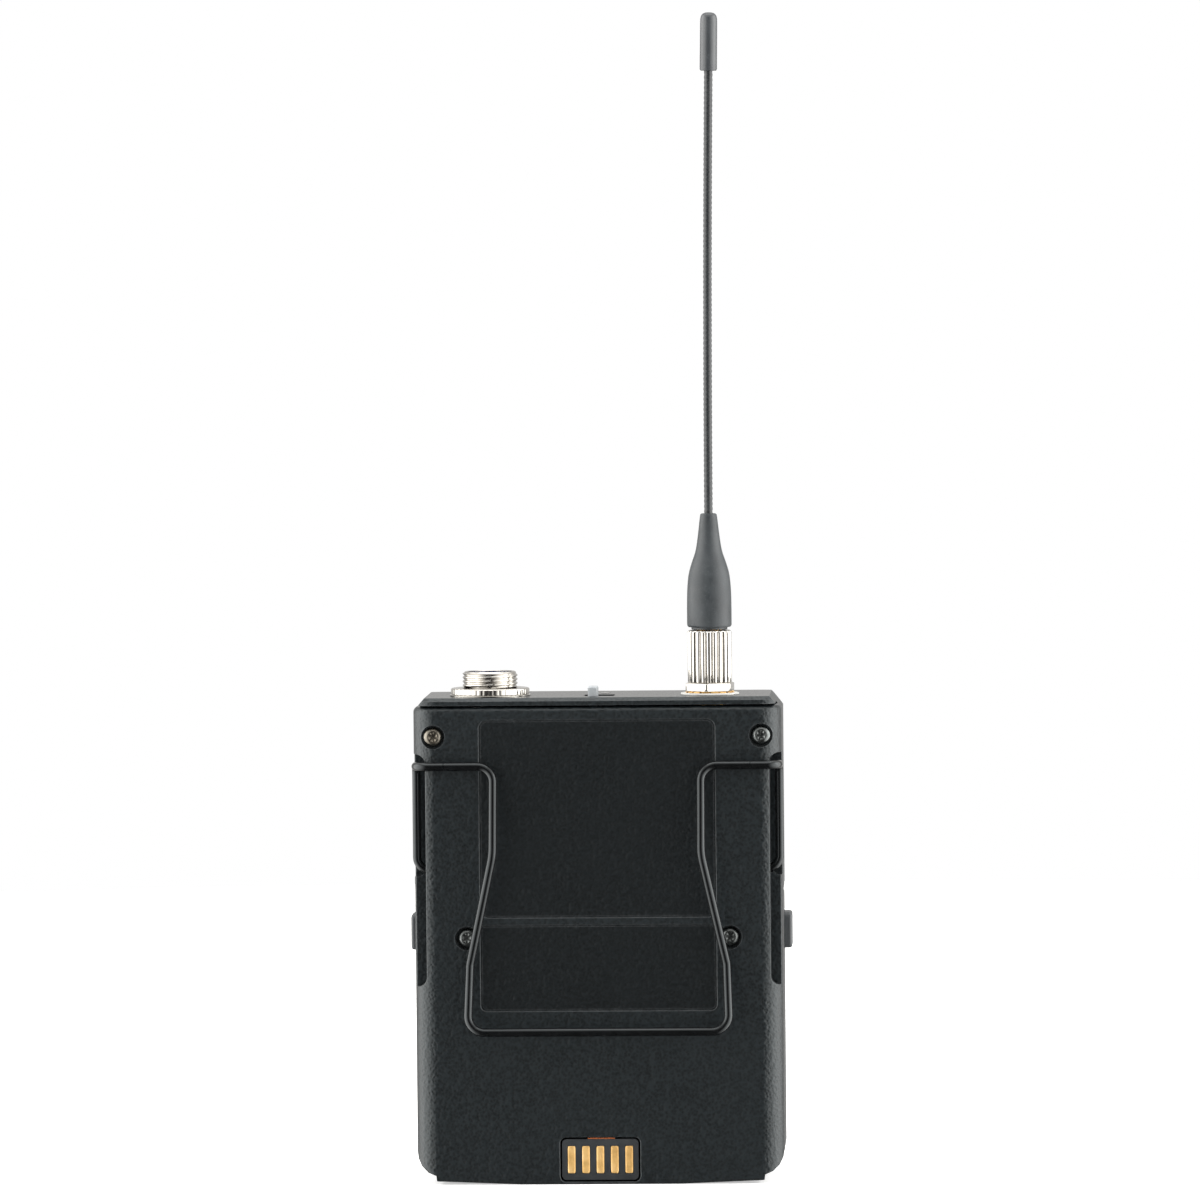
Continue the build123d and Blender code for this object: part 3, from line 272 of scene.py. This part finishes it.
def battery_sleeve(name):
    """Plain two-tone cell sleeve, with no lettering."""
    s = Shader(name, Metallic=0.6)
    parts = s.node("ShaderNodeSeparateXYZ")
    s.join(s.where, parts.inputs[0])
    shifted = s.node("ShaderNodeMath", operation="MULTIPLY_ADD")
    shifted.inputs[1].default_value = 18.0
    shifted.inputs[2].default_value = 0.5
    s.join(parts.outputs["X"], shifted.inputs[0])
    tone = s.ramp(
        shifted.outputs[0],
        (0.02, (0.55, 0.56, 0.55)),
        (0.05, (0.05, 0.16, 0.11)),
        (0.93, (0.05, 0.16, 0.11)),
        (0.96, (0.60, 0.52, 0.35)),
    )
    s.colour(s.mix(s.ramp(s.noise(200, 4.0), (0.4, 0.0), (0.7, 0.2)), tone, (0.02, 0.03, 0.03)))
    s.roughness(s.noise(700), 0.22, 0.4)
    s.bump(s.noise(2500, 2.0), 0.1, 0.00002)
    return s.material


def clear_window(name, tint):
    s = Shader(name, Transmission_Weight=0.85, IOR=1.49, Specular_IOR_Level=0.5)
    s.colour(s.ramp(s.noise(90, 3.0), (0.3, tint), (0.7, tuple(1.25 * c for c in tint))))
    s.roughness(s.noise(900, 3.0), 0.03, 0.09)
    s.bump(s.noise(2500, 2.0), 0.04, 0.00001)
    return s.material


def wire_coating(name):
    """Black glossy coating on spring wire, dulled a little where it rubs."""
    s = Shader(name, Specular_IOR_Level=0.42, Specular_Tint=(0.90, 0.97, 1.0, 1.0))
    tone = s.ramp(s.noise(500, 4.0), (0.3, (0.0022, 0.0024, 0.0026)), (0.7, (0.0045, 0.0048, 0.0052)))
    rubbed = s.ramp(s.noise(1400, 5.0), (0.68, 0.0), (0.80, 0.4))
    s.colour(s.mix(rubbed, tone, (0.014, 0.015, 0.017)))
    s.roughness(s.noise(900, 3.0), 0.10, 0.18)
    s.bump(s.noise(3000, 2.0), 0.10, 0.00002)
    return s.material


def copper_film(name):
    s = Shader(name, Specular_IOR_Level=0.6)
    lines = s.ramp(s.bands(1200, "X"), (0.55, 0.0), (0.75, 1.0))
    s.colour(s.mix(lines, (0.17, 0.035, 0.008), (0.34, 0.10, 0.025)))
    s.roughness(s.noise(900), 0.2, 0.35)
    s.bump(lines, 0.3, 0.00002)
    return s.material


BODY_DARK, BODY_LIGHT = (0.0024, 0.0033, 0.0038), (0.0042, 0.0056, 0.0064)
MATERIALS = {
    "body": painted_metal("body_paint", BODY_DARK, BODY_LIGHT),
    "door": painted_metal("door_paint", BODY_DARK, BODY_LIGHT),
    "screw_steel": screw_metal("screw_zinc"),
    "label_film": painted_metal("label_film", (0.0014, 0.0019, 0.0022), (0.0025, 0.0033, 0.0038), (0.30, 0.36)),
    "window": clear_window("display_window_clear", (0.30, 0.33, 0.34)),
    "gasket": satin_rubber("gasket_foam", (0.02, 0.02, 0.02), (0.035, 0.035, 0.035)),
    "lcd": display_panel("lcd_field"),
    "ir": clear_window("ir_window_red", (0.10, 0.006, 0.008)),
    "key": moulded_plastic("key_plastic", (0.05, 0.055, 0.06), (0.075, 0.08, 0.085)),
    "latch": moulded_plastic("latch_plastic", (0.045, 0.050, 0.054), (0.065, 0.07, 0.075)),
    "switch_metal": turned_metal("switch_can", (0.5, 0.5, 0.5), (0.65, 0.65, 0.64), (0.25, 0.4)),
    "board": circuit_board("board_mask"),
    "connector": moulded_plastic("connector_plastic", (0.02, 0.02, 0.02), (0.04, 0.04, 0.04)),
    "shield": turned_metal("shield_tin", (0.5, 0.5, 0.48), (0.68, 0.68, 0.66), (0.3, 0.45), (900, 900, 300)),
    "chip": moulded_plastic("chip_resin", (0.014, 0.014, 0.016), (0.03, 0.03, 0.032), (0.5, 0.65)),
    "tray": moulded_plastic("tray_plastic", (0.022, 0.022, 0.024), (0.036, 0.036, 0.04), (0.45, 0.6)),
    "battery": battery_sleeve("battery_sleeve"),
    "spring_steel": turned_metal("spring_nickel", (0.5, 0.5, 0.49), (0.7, 0.7, 0.68), (0.2, 0.35)),
    "pin_steel": turned_metal("pin_ground", (0.3, 0.3, 0.31), (0.45, 0.45, 0.46), (0.2, 0.3), (9000, 60, 60)),
    "nickel": turned_metal("nickel_bright", (0.44, 0.425, 0.395), (0.58, 0.56, 0.525), (0.12, 0.22)),
    "insulator_blue": moulded_plastic("insulator_blue", (0.010, 0.06, 0.26), (0.02, 0.10, 0.40), (0.3, 0.4)),
    "gold": gold_plate("gold_plate"),
    "slider": moulded_plastic("slider_grey", (0.32, 0.345, 0.365), (0.41, 0.435, 0.455), (0.30, 0.45)),
    "led_lens": clear_window("led_lens_clear", (0.16, 0.17, 0.15)),
    "ptfe": moulded_plastic("ptfe", (0.70, 0.70, 0.68), (0.80, 0.80, 0.78)),
    "washer_white": moulded_plastic("washer_nylon", (0.52, 0.52, 0.50), (0.62, 0.62, 0.60)),
    "boot_rubber": satin_rubber("boot_rubber", (0.015, 0.019, 0.022), (0.034, 0.040, 0.044), (0.42, 0.55)),
    "whip": satin_rubber("whip_sleeve", (0.012, 0.014, 0.016), (0.020, 0.023, 0.025), (0.26, 0.38), 6000),
    "tip": moulded_plastic("tip_gloss", (0.034, 0.038, 0.042), (0.050, 0.055, 0.060), (0.16, 0.26), 2500, 0.12),
    "wire": wire_coating("wire_coating"),
    "flex": copper_film("flex_film"),
    "contact_block": moulded_plastic("block_plastic", (0.010, 0.012, 0.014), (0.018, 0.021, 0.024), (0.4, 0.55)),
}


# ---------------------------------------------------------------- mesh helpers
def finish_piece(mesh, name, body, slot, nodes):
    """Links a mesh as a visible piece that rides on a body and stands for CAD nodes."""
    piece = bpy.data.objects.new(name, mesh)
    bpy.context.scene.collection.objects.link(piece)
    mesh.materials.clear()
    mesh.materials.append(MATERIALS[slot])
    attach(piece, body)
    if nodes:
        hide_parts(*nodes)
    return piece


def solid_from_rings(name, rings):
    """Closed mesh through rings of equal point count, as (x, y, z) in millimetres; the last ring joins the first."""
    count = len(rings[0])
    points = [tuple(c * MM for c in point) for ring in rings for point in ring]
    faces = []
    for low in range(len(rings)):
        high = (low + 1) % len(rings)
        for i in range(count):
            j = (i + 1) % count
            faces.append((low * count + i, low * count + j, high * count + j, high * count + i))
    return mesh_of(name, points, faces)


def capped_from_rings(name, rings):
    """Closed mesh through rings, with its first and last ring closed by a fan."""
    count = len(rings[0])
    points = [tuple(c * MM for c in point) for ring in rings for point in ring]
    faces = []
    for low in range(len(rings) - 1):
        for i in range(count):
            j = (i + 1) % count
            faces.append((low * count + i, low * count + j, (low + 1) * count + j, (low + 1) * count + i))
    for ring, turn in ((0, True), (len(rings) - 1, False)):
        base = ring * count
        centre = tuple(sum(points[base + i][k] for i in range(count)) / count for k in range(3))
        points.append(centre)
        hub = len(points) - 1
        for i in range(count):
            j = (i + 1) % count
            faces.append((hub, base + j, base + i) if turn else (hub, base + i, base + j))
    return mesh_of(name, points, faces)


def mesh_of(name, points, faces):
    mesh = bpy.data.meshes.new(name)
    mesh.from_pydata(points, [], faces)
    mesh.validate()
    work = bmesh.new()
    work.from_mesh(mesh)
    bmesh.ops.recalc_face_normals(work, faces=work.faces)
    if work.calc_volume(signed=True) < 0:
        bmesh.ops.reverse_faces(work, faces=work.faces)
    work.to_mesh(mesh)
    work.free()
    mesh.shade_smooth()
    mesh.set_sharp_from_angle(angle=math.radians(38))
    return mesh


def ring_of(centre, radius, z, count):
    """Points of one level ring; radius may be a function of the angle."""
    out = []
    for i in range(count):
        angle = 2 * math.pi * i / count
        r = radius(angle) if callable(radius) else radius
        out.append((centre[0] + r * math.cos(angle), centre[1] + r * math.sin(angle), z))
    return out


def turned(name, node, centre, profile, count=96):
    """Piece turned round a vertical axis: profile is a closed list of (radius, z)."""
    rings = [ring_of(centre, radius, z, count) for radius, z in profile]
    return finish_piece(solid_from_rings(name, rings), name, NODE_BODY[node], NODE_SLOT[node], [node])


def thread(outer, depth, pitch, z):
    """Radius round a helical thread at height z."""

    def radius(angle):
        phase = (z / pitch - angle / (2 * math.pi)) % 1.0
        crest = 1 - abs(2 * phase - 1)
        crest = min(1.0, max(0.0, 1.5 * crest - 0.2))
        return outer - depth + depth * crest

    return radius


def thread_rows(outer, depth, pitch, low, high, per_turn=10):
    steps = round((high - low) / pitch * per_turn)
    return [
        (thread(outer, depth, pitch, z), z)
        for z in (low + (high - low) * i / steps for i in range(steps + 1))
    ]


# ---------------------------------------------------------------- CAD nodes that keep their shape
for node_name, node_object in frame["nodes"].items():
    node_object.data.materials.clear()
    node_object.data.materials.append(MATERIALS[NODE_SLOT[node_name]])

# ---------------------------------------------------------------- antenna connector and antenna
SMA = (-19.8, 3.5)
THREAD_R = 3.12
NUT_LOW, NUT_HIGH = 88.15, 97.4
FLUTES = 22

turned("sma_jack_threaded", "sma_jack", SMA, [
    (2.3, 84.0), (0.02, 84.0), (0.02, 77.0), (2.25, 77.0), (2.4, 77.15), (2.4, 81.2), (4.3, 81.2), (4.4, 81.3),
    (4.4, 82.7), (4.3, 82.8), (2.95, 82.8), (2.95, 85.9),
    *thread_rows(THREAD_R, 0.17, 0.706, 86.0, 92.6),
    (2.95, 92.8), (2.75, 93.0), (2.4, 93.0), (2.3, 92.9),
], 72)
turned("sma_washer_ring", "sma_washer", SMA, [
    (3.2, 86.0), (5.05, 86.0), (5.15, 86.08), (5.15, 86.27), (5.05, 86.35), (3.2, 86.35),
], 128)


def toothed(outer, depth, teeth):
    """Radius round a lock ring cut into segments."""

    def radius(angle):
        phase = (angle * teeth / (2 * math.pi)) % 1.0
        return outer - depth * (1.0 if phase < 0.22 else 0.0)

    return radius


turned("sma_lock_ring_toothed", "sma_lock_ring", SMA, [
    (3.2, 86.36), (toothed(4.2, 0.35, 16), 86.36), (toothed(4.3, 0.42, 16), 86.42),
    (toothed(4.3, 0.42, 16), 86.54), (toothed(4.2, 0.35, 16), 86.59), (3.2, 86.59),
], 288)


HEX_TURN = 7.0           # degrees the tightened nut stopped at


def hexagon(flat, corner):
    """Radius round a hexagon of half-width flat, its corners cut to radius corner."""

    def radius(angle):
        inside = (angle + math.radians(30 + HEX_TURN)) % math.radians(60) - math.radians(30)
        return min(flat / math.cos(inside), corner)

    return radius


turned("sma_hex_nut_chamfered", "sma_hex_nut", SMA, [
    (3.2, 86.61), (hexagon(3.9, 4.3), 86.61), (hexagon(4.0, 4.5), 86.7), (hexagon(4.0, 4.61), 86.82),
    (hexagon(4.0, 4.61), 87.88), (hexagon(4.0, 4.5), 88.0), (hexagon(3.92, 4.3), 88.09), (3.3, 88.1), (3.2, 88.0),
], 180)


def fluted(outer, depth):
    """Radius round a knurled nut: broad rounded ribs with thin grooves between them."""

    def radius(angle):
        swell = abs(math.sin(FLUTES * angle / 2))
        return outer - depth * (1 - swell) ** 1.7

    return radius


turned("antenna_nut_fluted", "antenna_nut", SMA, [
    (3.25, NUT_LOW + 0.1), (3.4, NUT_LOW), (fluted(3.80, 0.30), NUT_LOW), (fluted(3.90, 0.36), NUT_LOW + 0.1),
    (fluted(3.92, 0.38), NUT_LOW + 2.6), (fluted(3.92, 0.38), NUT_HIGH - 3.0), (fluted(3.92, 0.38), NUT_HIGH - 0.45),
    (fluted(3.88, 0.30), NUT_HIGH - 0.32), (fluted(3.80, 0.12), NUT_HIGH - 0.22), (3.72, NUT_HIGH - 0.14),
    (3.62, NUT_HIGH - 0.03), (3.45, NUT_HIGH), (2.45, NUT_HIGH), (2.38, NUT_HIGH - 0.08), (2.38, 94.4), (3.2, 94.4),
], FLUTES * 12)

BOOT_PROFILE = [
    (2.33, 97.5), (3.1, 97.5), (3.18, 97.56), (3.2, 97.9), (3.66, 97.94), (3.80, 98.02), (3.90, 98.22), (3.94, 98.4),
    (3.94, 101.0), (3.92, 103.0), (3.89, 104.0), (3.84, 105.0), (3.76, 106.0), (3.66, 106.9), (3.51, 107.7),
    (3.32, 108.4), (3.10, 109.1), (2.90, 109.7), (2.72, 110.2), (2.56, 110.65), (2.42, 111.1), (2.28, 111.7),
    (2.15, 112.4), (2.03, 113.2), (1.91, 114.1), (1.80, 115.0), (1.70, 115.9), (1.61, 116.7), (1.53, 117.3),
    (1.47, 117.7), (1.39, 117.9), (1.2, 117.99), (0.9, 118.0), (0.78, 117.9), (0.78, 104.1), (2.33, 104.1),
]
turned("antenna_boot_moulded", "antenna_boot", SMA, BOOT_PROFILE, 96)

WHIP_BOTTOM, WHIP_TOP, WHIP_LEAN = 118.0, 196.9, 0.65
WHIP_ARC = (WHIP_TOP - WHIP_BOTTOM) ** 2 / (2 * WHIP_LEAN) + WHIP_LEAN / 2


def whip_point(z):
    """Centre of the whip and its lean, at height z: straight in the boot, then a gentle bow."""
    rise = max(0.0, z - WHIP_BOTTOM)
    drop = WHIP_ARC - math.sqrt(WHIP_ARC ** 2 - rise ** 2)
    return (SMA[0] - drop, SMA[1], z), math.asin(rise / WHIP_ARC)


def leaning_ring(z, radius, count):
    """Ring square to the whip at height z; radius is a function of the angle."""
    (x, y, z), lean = whip_point(z)
    out = []
    for i in range(count):
        angle = 2 * math.pi * i / count
        r = radius(angle)
        across = r * math.cos(angle)
        out.append((x + across * math.cos(lean), y + r * math.sin(angle), z + across * math.sin(lean)))
    return out


WHIP_RIB_PITCH = 0.9
whip_rings = []
whip_steps = 930
for step in range(whip_steps + 1):
    height = 104.2 + (WHIP_TOP - 0.1 - 104.2) * step / whip_steps
    whip_rings.append(leaning_ring(height, thread(0.765, 0.06, WHIP_RIB_PITCH, height), 24))
whip = finish_piece(capped_from_rings("antenna_whip_ribbed", whip_rings), "antenna_whip_ribbed",
                    NODE_BODY["antenna_whip"], NODE_SLOT["antenna_whip"], ["antenna_whip"])

tip_origin, tip_lean = whip_point(WHIP_TOP)
TIP_PROFILE = [
    (0.80, -0.86), (1.30, -0.88), (1.44, -0.80), (1.53, -0.55), (1.53, 0.3), (1.52, 3.0), (1.52, 6.0), (1.51, 7.9),
    (1.47, 8.4), (1.36, 8.78), (1.16, 9.08), (0.86, 9.28), (0.5, 9.38), (0.2, 9.4), (0.02, 9.4),
    (0.02, 0.02), (0.80, 0.02),
]
tip_rings = []
for radius, along in TIP_PROFILE:
    ring = []
    for i in range(64):
        angle = 2 * math.pi * i / 64
        across = radius * math.cos(angle)
        ring.append((
            tip_origin[0] + across * math.cos(tip_lean) - along * math.sin(tip_lean),
            tip_origin[1] + radius * math.sin(angle),
            tip_origin[2] + across * math.sin(tip_lean) + along * math.cos(tip_lean),
        ))
    tip_rings.append(ring)
finish_piece(solid_from_rings("antenna_tip_moulded", tip_rings), "antenna_tip_moulded",
             NODE_BODY["antenna_tip"], NODE_SLOT["antenna_tip"], ["antenna_tip"])

# ---------------------------------------------------------------- microphone connector
JACK = (19.15, 2.5)
JACK_R, JACK_TOP = 4.85, 90.3
JACK_BORE_R = 4.0
turned("mic_jack_washer_ring", "mic_jack_washer", JACK, [
    (4.95, 86.0), (7.07, 86.0), (7.15, 86.06), (7.15, 86.18), (7.05, 86.25), (4.95, 86.25),
], 160)


def scored(outer, depth, lines):
    """Radius round a ring scored with fine upright lines."""

    def radius(angle):
        return outer - depth * (0.5 + 0.5 * math.cos(lines * angle)) ** 3

    return radius


RING_LINES = 44
turned("mic_jack_ring_scored", "mic_jack_ring", JACK, [
    (4.9, 86.26), (6.82, 86.26), (scored(6.95, 0.03, RING_LINES), 86.36), (scored(6.95, 0.05, RING_LINES), 86.5),
    (scored(6.95, 0.05, RING_LINES), 87.12), (scored(6.93, 0.03, RING_LINES), 87.22), (6.78, 87.37), (6.6, 87.4),
    (5.1, 87.4), (4.9, 87.3),
], RING_LINES * 8)

JACK_PITCH = 0.70
jack_rows = thread_rows(JACK_R + 0.02, 0.26, JACK_PITCH, 87.62, 90.0, 14)
mic_profile = [
    (JACK_BORE_R, 72.0), (0.02, 72.0), (0.02, 70.0), (4.4, 70.0), (4.5, 70.1), (4.5, 80.9), (6.1, 80.9), (6.2, 81.0),
    (6.2, 82.7), (6.1, 82.8), (4.55, 82.8), (4.55, 87.3),
    *jack_rows,
    (4.62, 90.08), (4.54, 90.2), (4.44, JACK_TOP), (4.08, JACK_TOP), (JACK_BORE_R, 90.22),
]
turned("mic_jack_barrel", "mic_jack_shell", JACK, mic_profile, 144)

# ---------------------------------------------------------------- case screws
SCREWS = [(side * x, z) for x, z in ((28.9, 79.15), (23.2, 43.6)) for side in (1, -1)]
SCREW_FACE = 11.0        # how far back the heads stand from the middle of the case
SCREW_TURN = (0.3, 0.9, 1.6, 2.2)


def lobed(angle, middle, swing):
    """Radius round a six-lobe drive recess."""
    return middle + swing * math.cos(6 * angle)


screw_points, screw_faces = [], []
SCREW_SEGMENTS = 72
for (sx, sz), turn in zip(SCREWS, SCREW_TURN):
    rings = [
        (1.0, -7.1, 0.0), (1.0, -0.72, 0.0), (1.62, -0.70, 0.0), (1.70, -0.64, 0.0), (1.70, -0.54, 0.0),
        (1.66, -0.44, 0.0), (1.58, -0.34, 0.0), (1.46, -0.24, 0.0), (1.30, -0.14, 0.0), (1.12, -0.06, 0.02),
        (0.96, -0.01, 0.05), (0.86, -0.01, 0.14), (0.81, -0.05, 0.17), (0.79, -0.42, 0.16), (0.50, -0.50, 0.05),
    ]
    base = len(screw_points)
    for radius, out, swing in rings:
        for i in range(SCREW_SEGMENTS):
            angle = 2 * math.pi * i / SCREW_SEGMENTS
            r = lobed(angle, radius, swing)
            screw_points.append((
                (sx + r * math.cos(angle + turn)) * MM, (SCREW_FACE + out) * MM, (sz + r * math.sin(angle + turn)) * MM,
            ))
    for low in range(len(rings) - 1):
        for i in range(SCREW_SEGMENTS):
            j = (i + 1) % SCREW_SEGMENTS
            a, b = base + low * SCREW_SEGMENTS, base + (low + 1) * SCREW_SEGMENTS
            screw_faces.append((a + i, a + j, b + j, b + i))
    for start, reverse in ((base, True), (base + (len(rings) - 1) * SCREW_SEGMENTS, False)):
        loop = list(range(start, start + SCREW_SEGMENTS))
        screw_faces.append(tuple(reversed(loop)) if reverse else tuple(loop))
screws = finish_piece(mesh_of("rear_cover_screws_lobed", screw_points, screw_faces), "rear_cover_screws_lobed",
                      NODE_BODY["rear_cover_screws"], NODE_SLOT["rear_cover_screws"], ["rear_cover_screws"])

# ---------------------------------------------------------------- charging contacts
CONTACT_HALF_W, CONTACT_HALF_H = 0.70, 2.425
CONTACT_MID_Z = 4.375
CONTACT_BACK, CONTACT_FACE = 10.5, 11.3
contact_points, contact_faces = [], []
CONTACT_STEPS = 48
for index in range(5):
    cx = (index - 2) * 2.54
    levels = [(1.0, CONTACT_BACK), (1.0, CONTACT_FACE - 0.12), (0.97, CONTACT_FACE - 0.05), (0.88, CONTACT_FACE),
              (0.62, CONTACT_FACE + 0.03), (0.3, CONTACT_FACE + 0.045)]
    base = len(contact_points)
    for shrink, y in levels:
        margin = 0.70 * (1 - shrink)
        for i in range(CONTACT_STEPS):
            angle = 2 * math.pi * i / CONTACT_STEPS
            c, d = math.cos(angle), math.sin(angle)
            power = 0.22
            px = (CONTACT_HALF_W - margin) * math.copysign(abs(c) ** power, c)
            pz = (CONTACT_HALF_H - margin) * math.copysign(abs(d) ** power, d)
            contact_points.append(((cx + px) * MM, y * MM, (CONTACT_MID_Z + pz) * MM))
    for low in range(len(levels) - 1):
        for i in range(CONTACT_STEPS):
            j = (i + 1) % CONTACT_STEPS
            a, b = base + low * CONTACT_STEPS, base + (low + 1) * CONTACT_STEPS
            contact_faces.append((a + i, a + j, b + j, b + i))
    for start, reverse in ((base, True), (base + (len(levels) - 1) * CONTACT_STEPS, False)):
        loop = list(range(start, start + CONTACT_STEPS))
        contact_faces.append(tuple(reversed(loop)) if reverse else tuple(loop))
finish_piece(mesh_of("charging_contacts_domed", contact_points, contact_faces), "charging_contacts_domed",
             NODE_BODY["charging_contacts"], NODE_SLOT["charging_contacts"], ["charging_contacts"])

# ---------------------------------------------------------------- stage, light and camera
FLOOR_R = 0.7


def glowing(name, colour, glow):
    """Pale matt surface with a little light of its own, as a lit sweep has."""
    s = Shader(name, Roughness=0.9, Specular_IOR_Level=0.1, Emission_Strength=glow)
    s.bsdf.inputs["Emission Color"].default_value = (1, 1, 1, 1)
    s.colour(s.ramp(s.noise(3, 2.0), (0.3, colour), (0.7, colour * 1.01)))
    return s.material


floor_mesh = bpy.data.meshes.new("floor")
floor_mesh.from_pydata(
    [(FLOOR_R * math.cos(2 * math.pi * i / 96), FLOOR_R * math.sin(2 * math.pi * i / 96), 0) for i in range(96)],
    [], [tuple(range(96))],
)
floor_mesh.materials.append(glowing("floor", 0.85, 0.45))
floor = bpy.data.objects.new("floor", floor_mesh)
bpy.context.scene.collection.objects.link(floor)
floor.visible_glossy = False


def area_light(name, place, aim, width, height, power):
    light = bpy.data.lights.new(name, "AREA")
    light.shape = "RECTANGLE"
    light.size = width
    light.size_y = height
    light.energy = power
    lamp = bpy.data.objects.new(name, light)
    bpy.context.scene.collection.objects.link(lamp)
    lamp.location = place
    lamp.rotation_mode = "QUATERNION"
    lamp.rotation_quaternion = (Vector(aim) - Vector(place)).to_track_quat("-Z", "Y")
    lamp.visible_camera = False
    return lamp


area_light("left_softbox", (0.9, 0.05, 0.25), (0, 0, 0.07), 0.35, 0.9, 1.0)
area_light("right_softbox", (-0.9, 0.12, 0.25), (0, 0, 0.07), 0.4, 0.9, 2.0)
area_light("top_softbox", (0, 0.05, 1.0), (0, 0, 0.05), 0.9, 0.7, 3)

world = bpy.data.worlds.new("studio")
world.use_nodes = True
sky = world.node_tree
seen = sky.nodes["Background"]
seen.inputs["Color"].default_value = (1, 1, 1, 1)
seen.inputs["Strength"].default_value = 1.0
room = sky.nodes.new("ShaderNodeBackground")
direction = sky.nodes.new("ShaderNodeSeparateXYZ")
sky.links.new(sky.nodes.new("ShaderNodeTexCoord").outputs["Generated"], direction.inputs[0])


def room_part(axis, operation, factor, stops):
    """Brightness of the room along one axis of the direction looked in."""
    size = sky.nodes.new("ShaderNodeMath")
    size.operation = operation
    size.inputs[1].default_value = factor
    sky.links.new(direction.outputs[axis], size.inputs[0])
    ramp = sky.nodes.new("ShaderNodeValToRGB")
    while len(ramp.color_ramp.elements) < len(stops):
        ramp.color_ramp.elements.new(0.5)
    for element, (position, grey) in zip(ramp.color_ramp.elements, stops):
        element.position = position
        element.color = (grey, grey, grey, 1)
    sky.links.new(size.outputs[0], ramp.inputs[0])
    return ramp.outputs[0]


def combined(operation, first, second):
    """Joins two parts of the room's brightness into one."""
    result = sky.nodes.new("ShaderNodeMath")
    result.operation = operation
    sky.links.new(first, result.inputs[0])
    sky.links.new(second, result.inputs[1])
    return result.outputs[0]


sides = room_part("X", "ABSOLUTE", 0.0, ((0.26, 0.02), (0.50, 0.48), (0.85, 1.55)))
ceiling = room_part("Z", "MULTIPLY", 1.0, ((0.45, 0.0), (0.85, 0.7)))
backdrop = room_part("Y", "MULTIPLY", -1.0, ((0.10, 0.0), (0.45, 0.28)))
unflagged = room_part("Y", "ADD", 1.0, ((0.38, 0.12), (0.62, 1.0)))    # black flags stand behind on both sides
lit = combined("MAXIMUM", combined("MULTIPLY", sides, unflagged), ceiling)
both = combined("MAXIMUM", lit, backdrop)
warm = sky.nodes.new("ShaderNodeVectorMath")
warm.operation = "MULTIPLY"
warm.inputs[1].default_value = (1.0, 0.985, 0.96)
sky.links.new(both, warm.inputs[0])
sky.links.new(warm.outputs[0], room.inputs["Color"])
room.inputs["Strength"].default_value = 2.6
path = sky.nodes.new("ShaderNodeLightPath")
choose = sky.nodes.new("ShaderNodeMixShader")
sky.links.new(path.outputs["Is Camera Ray"], choose.inputs[0])
sky.links.new(room.outputs[0], choose.inputs[1])
sky.links.new(seen.outputs[0], choose.inputs[2])
sky.links.new(choose.outputs[0], sky.nodes["World Output"].inputs["Surface"])
bpy.context.scene.world = world
bpy.context.scene.view_settings.view_transform = "Standard"

AZIMUTH = math.radians(182.4)
ELEVATION = math.radians(2.4)
DISTANCE = 1.5
FIELD = 0.2110          # metres across the picture at the aimed-at plane
ROLL = math.radians(0.52)
AIM = Vector((-0.00083, 0.0115, 0.10315))
camera_data = bpy.data.cameras.new("camera")
camera_data.sensor_width = 36.0
camera_data.lens = 36.0 * DISTANCE / FIELD
camera = bpy.data.objects.new("camera", camera_data)
bpy.context.scene.collection.objects.link(camera)
back = Vector((
    math.sin(AZIMUTH) * math.cos(ELEVATION),
    -math.cos(AZIMUTH) * math.cos(ELEVATION),
    math.sin(ELEVATION),
))
camera.location = AIM + back * DISTANCE
camera.rotation_mode = "QUATERNION"
camera.rotation_quaternion = (-back).to_track_quat("-Z", "Y") @ Quaternion((0, 0, 1), -ROLL)
camera_data.clip_start = 0.05
camera_data.clip_end = 50.0
bpy.context.scene.camera = camera
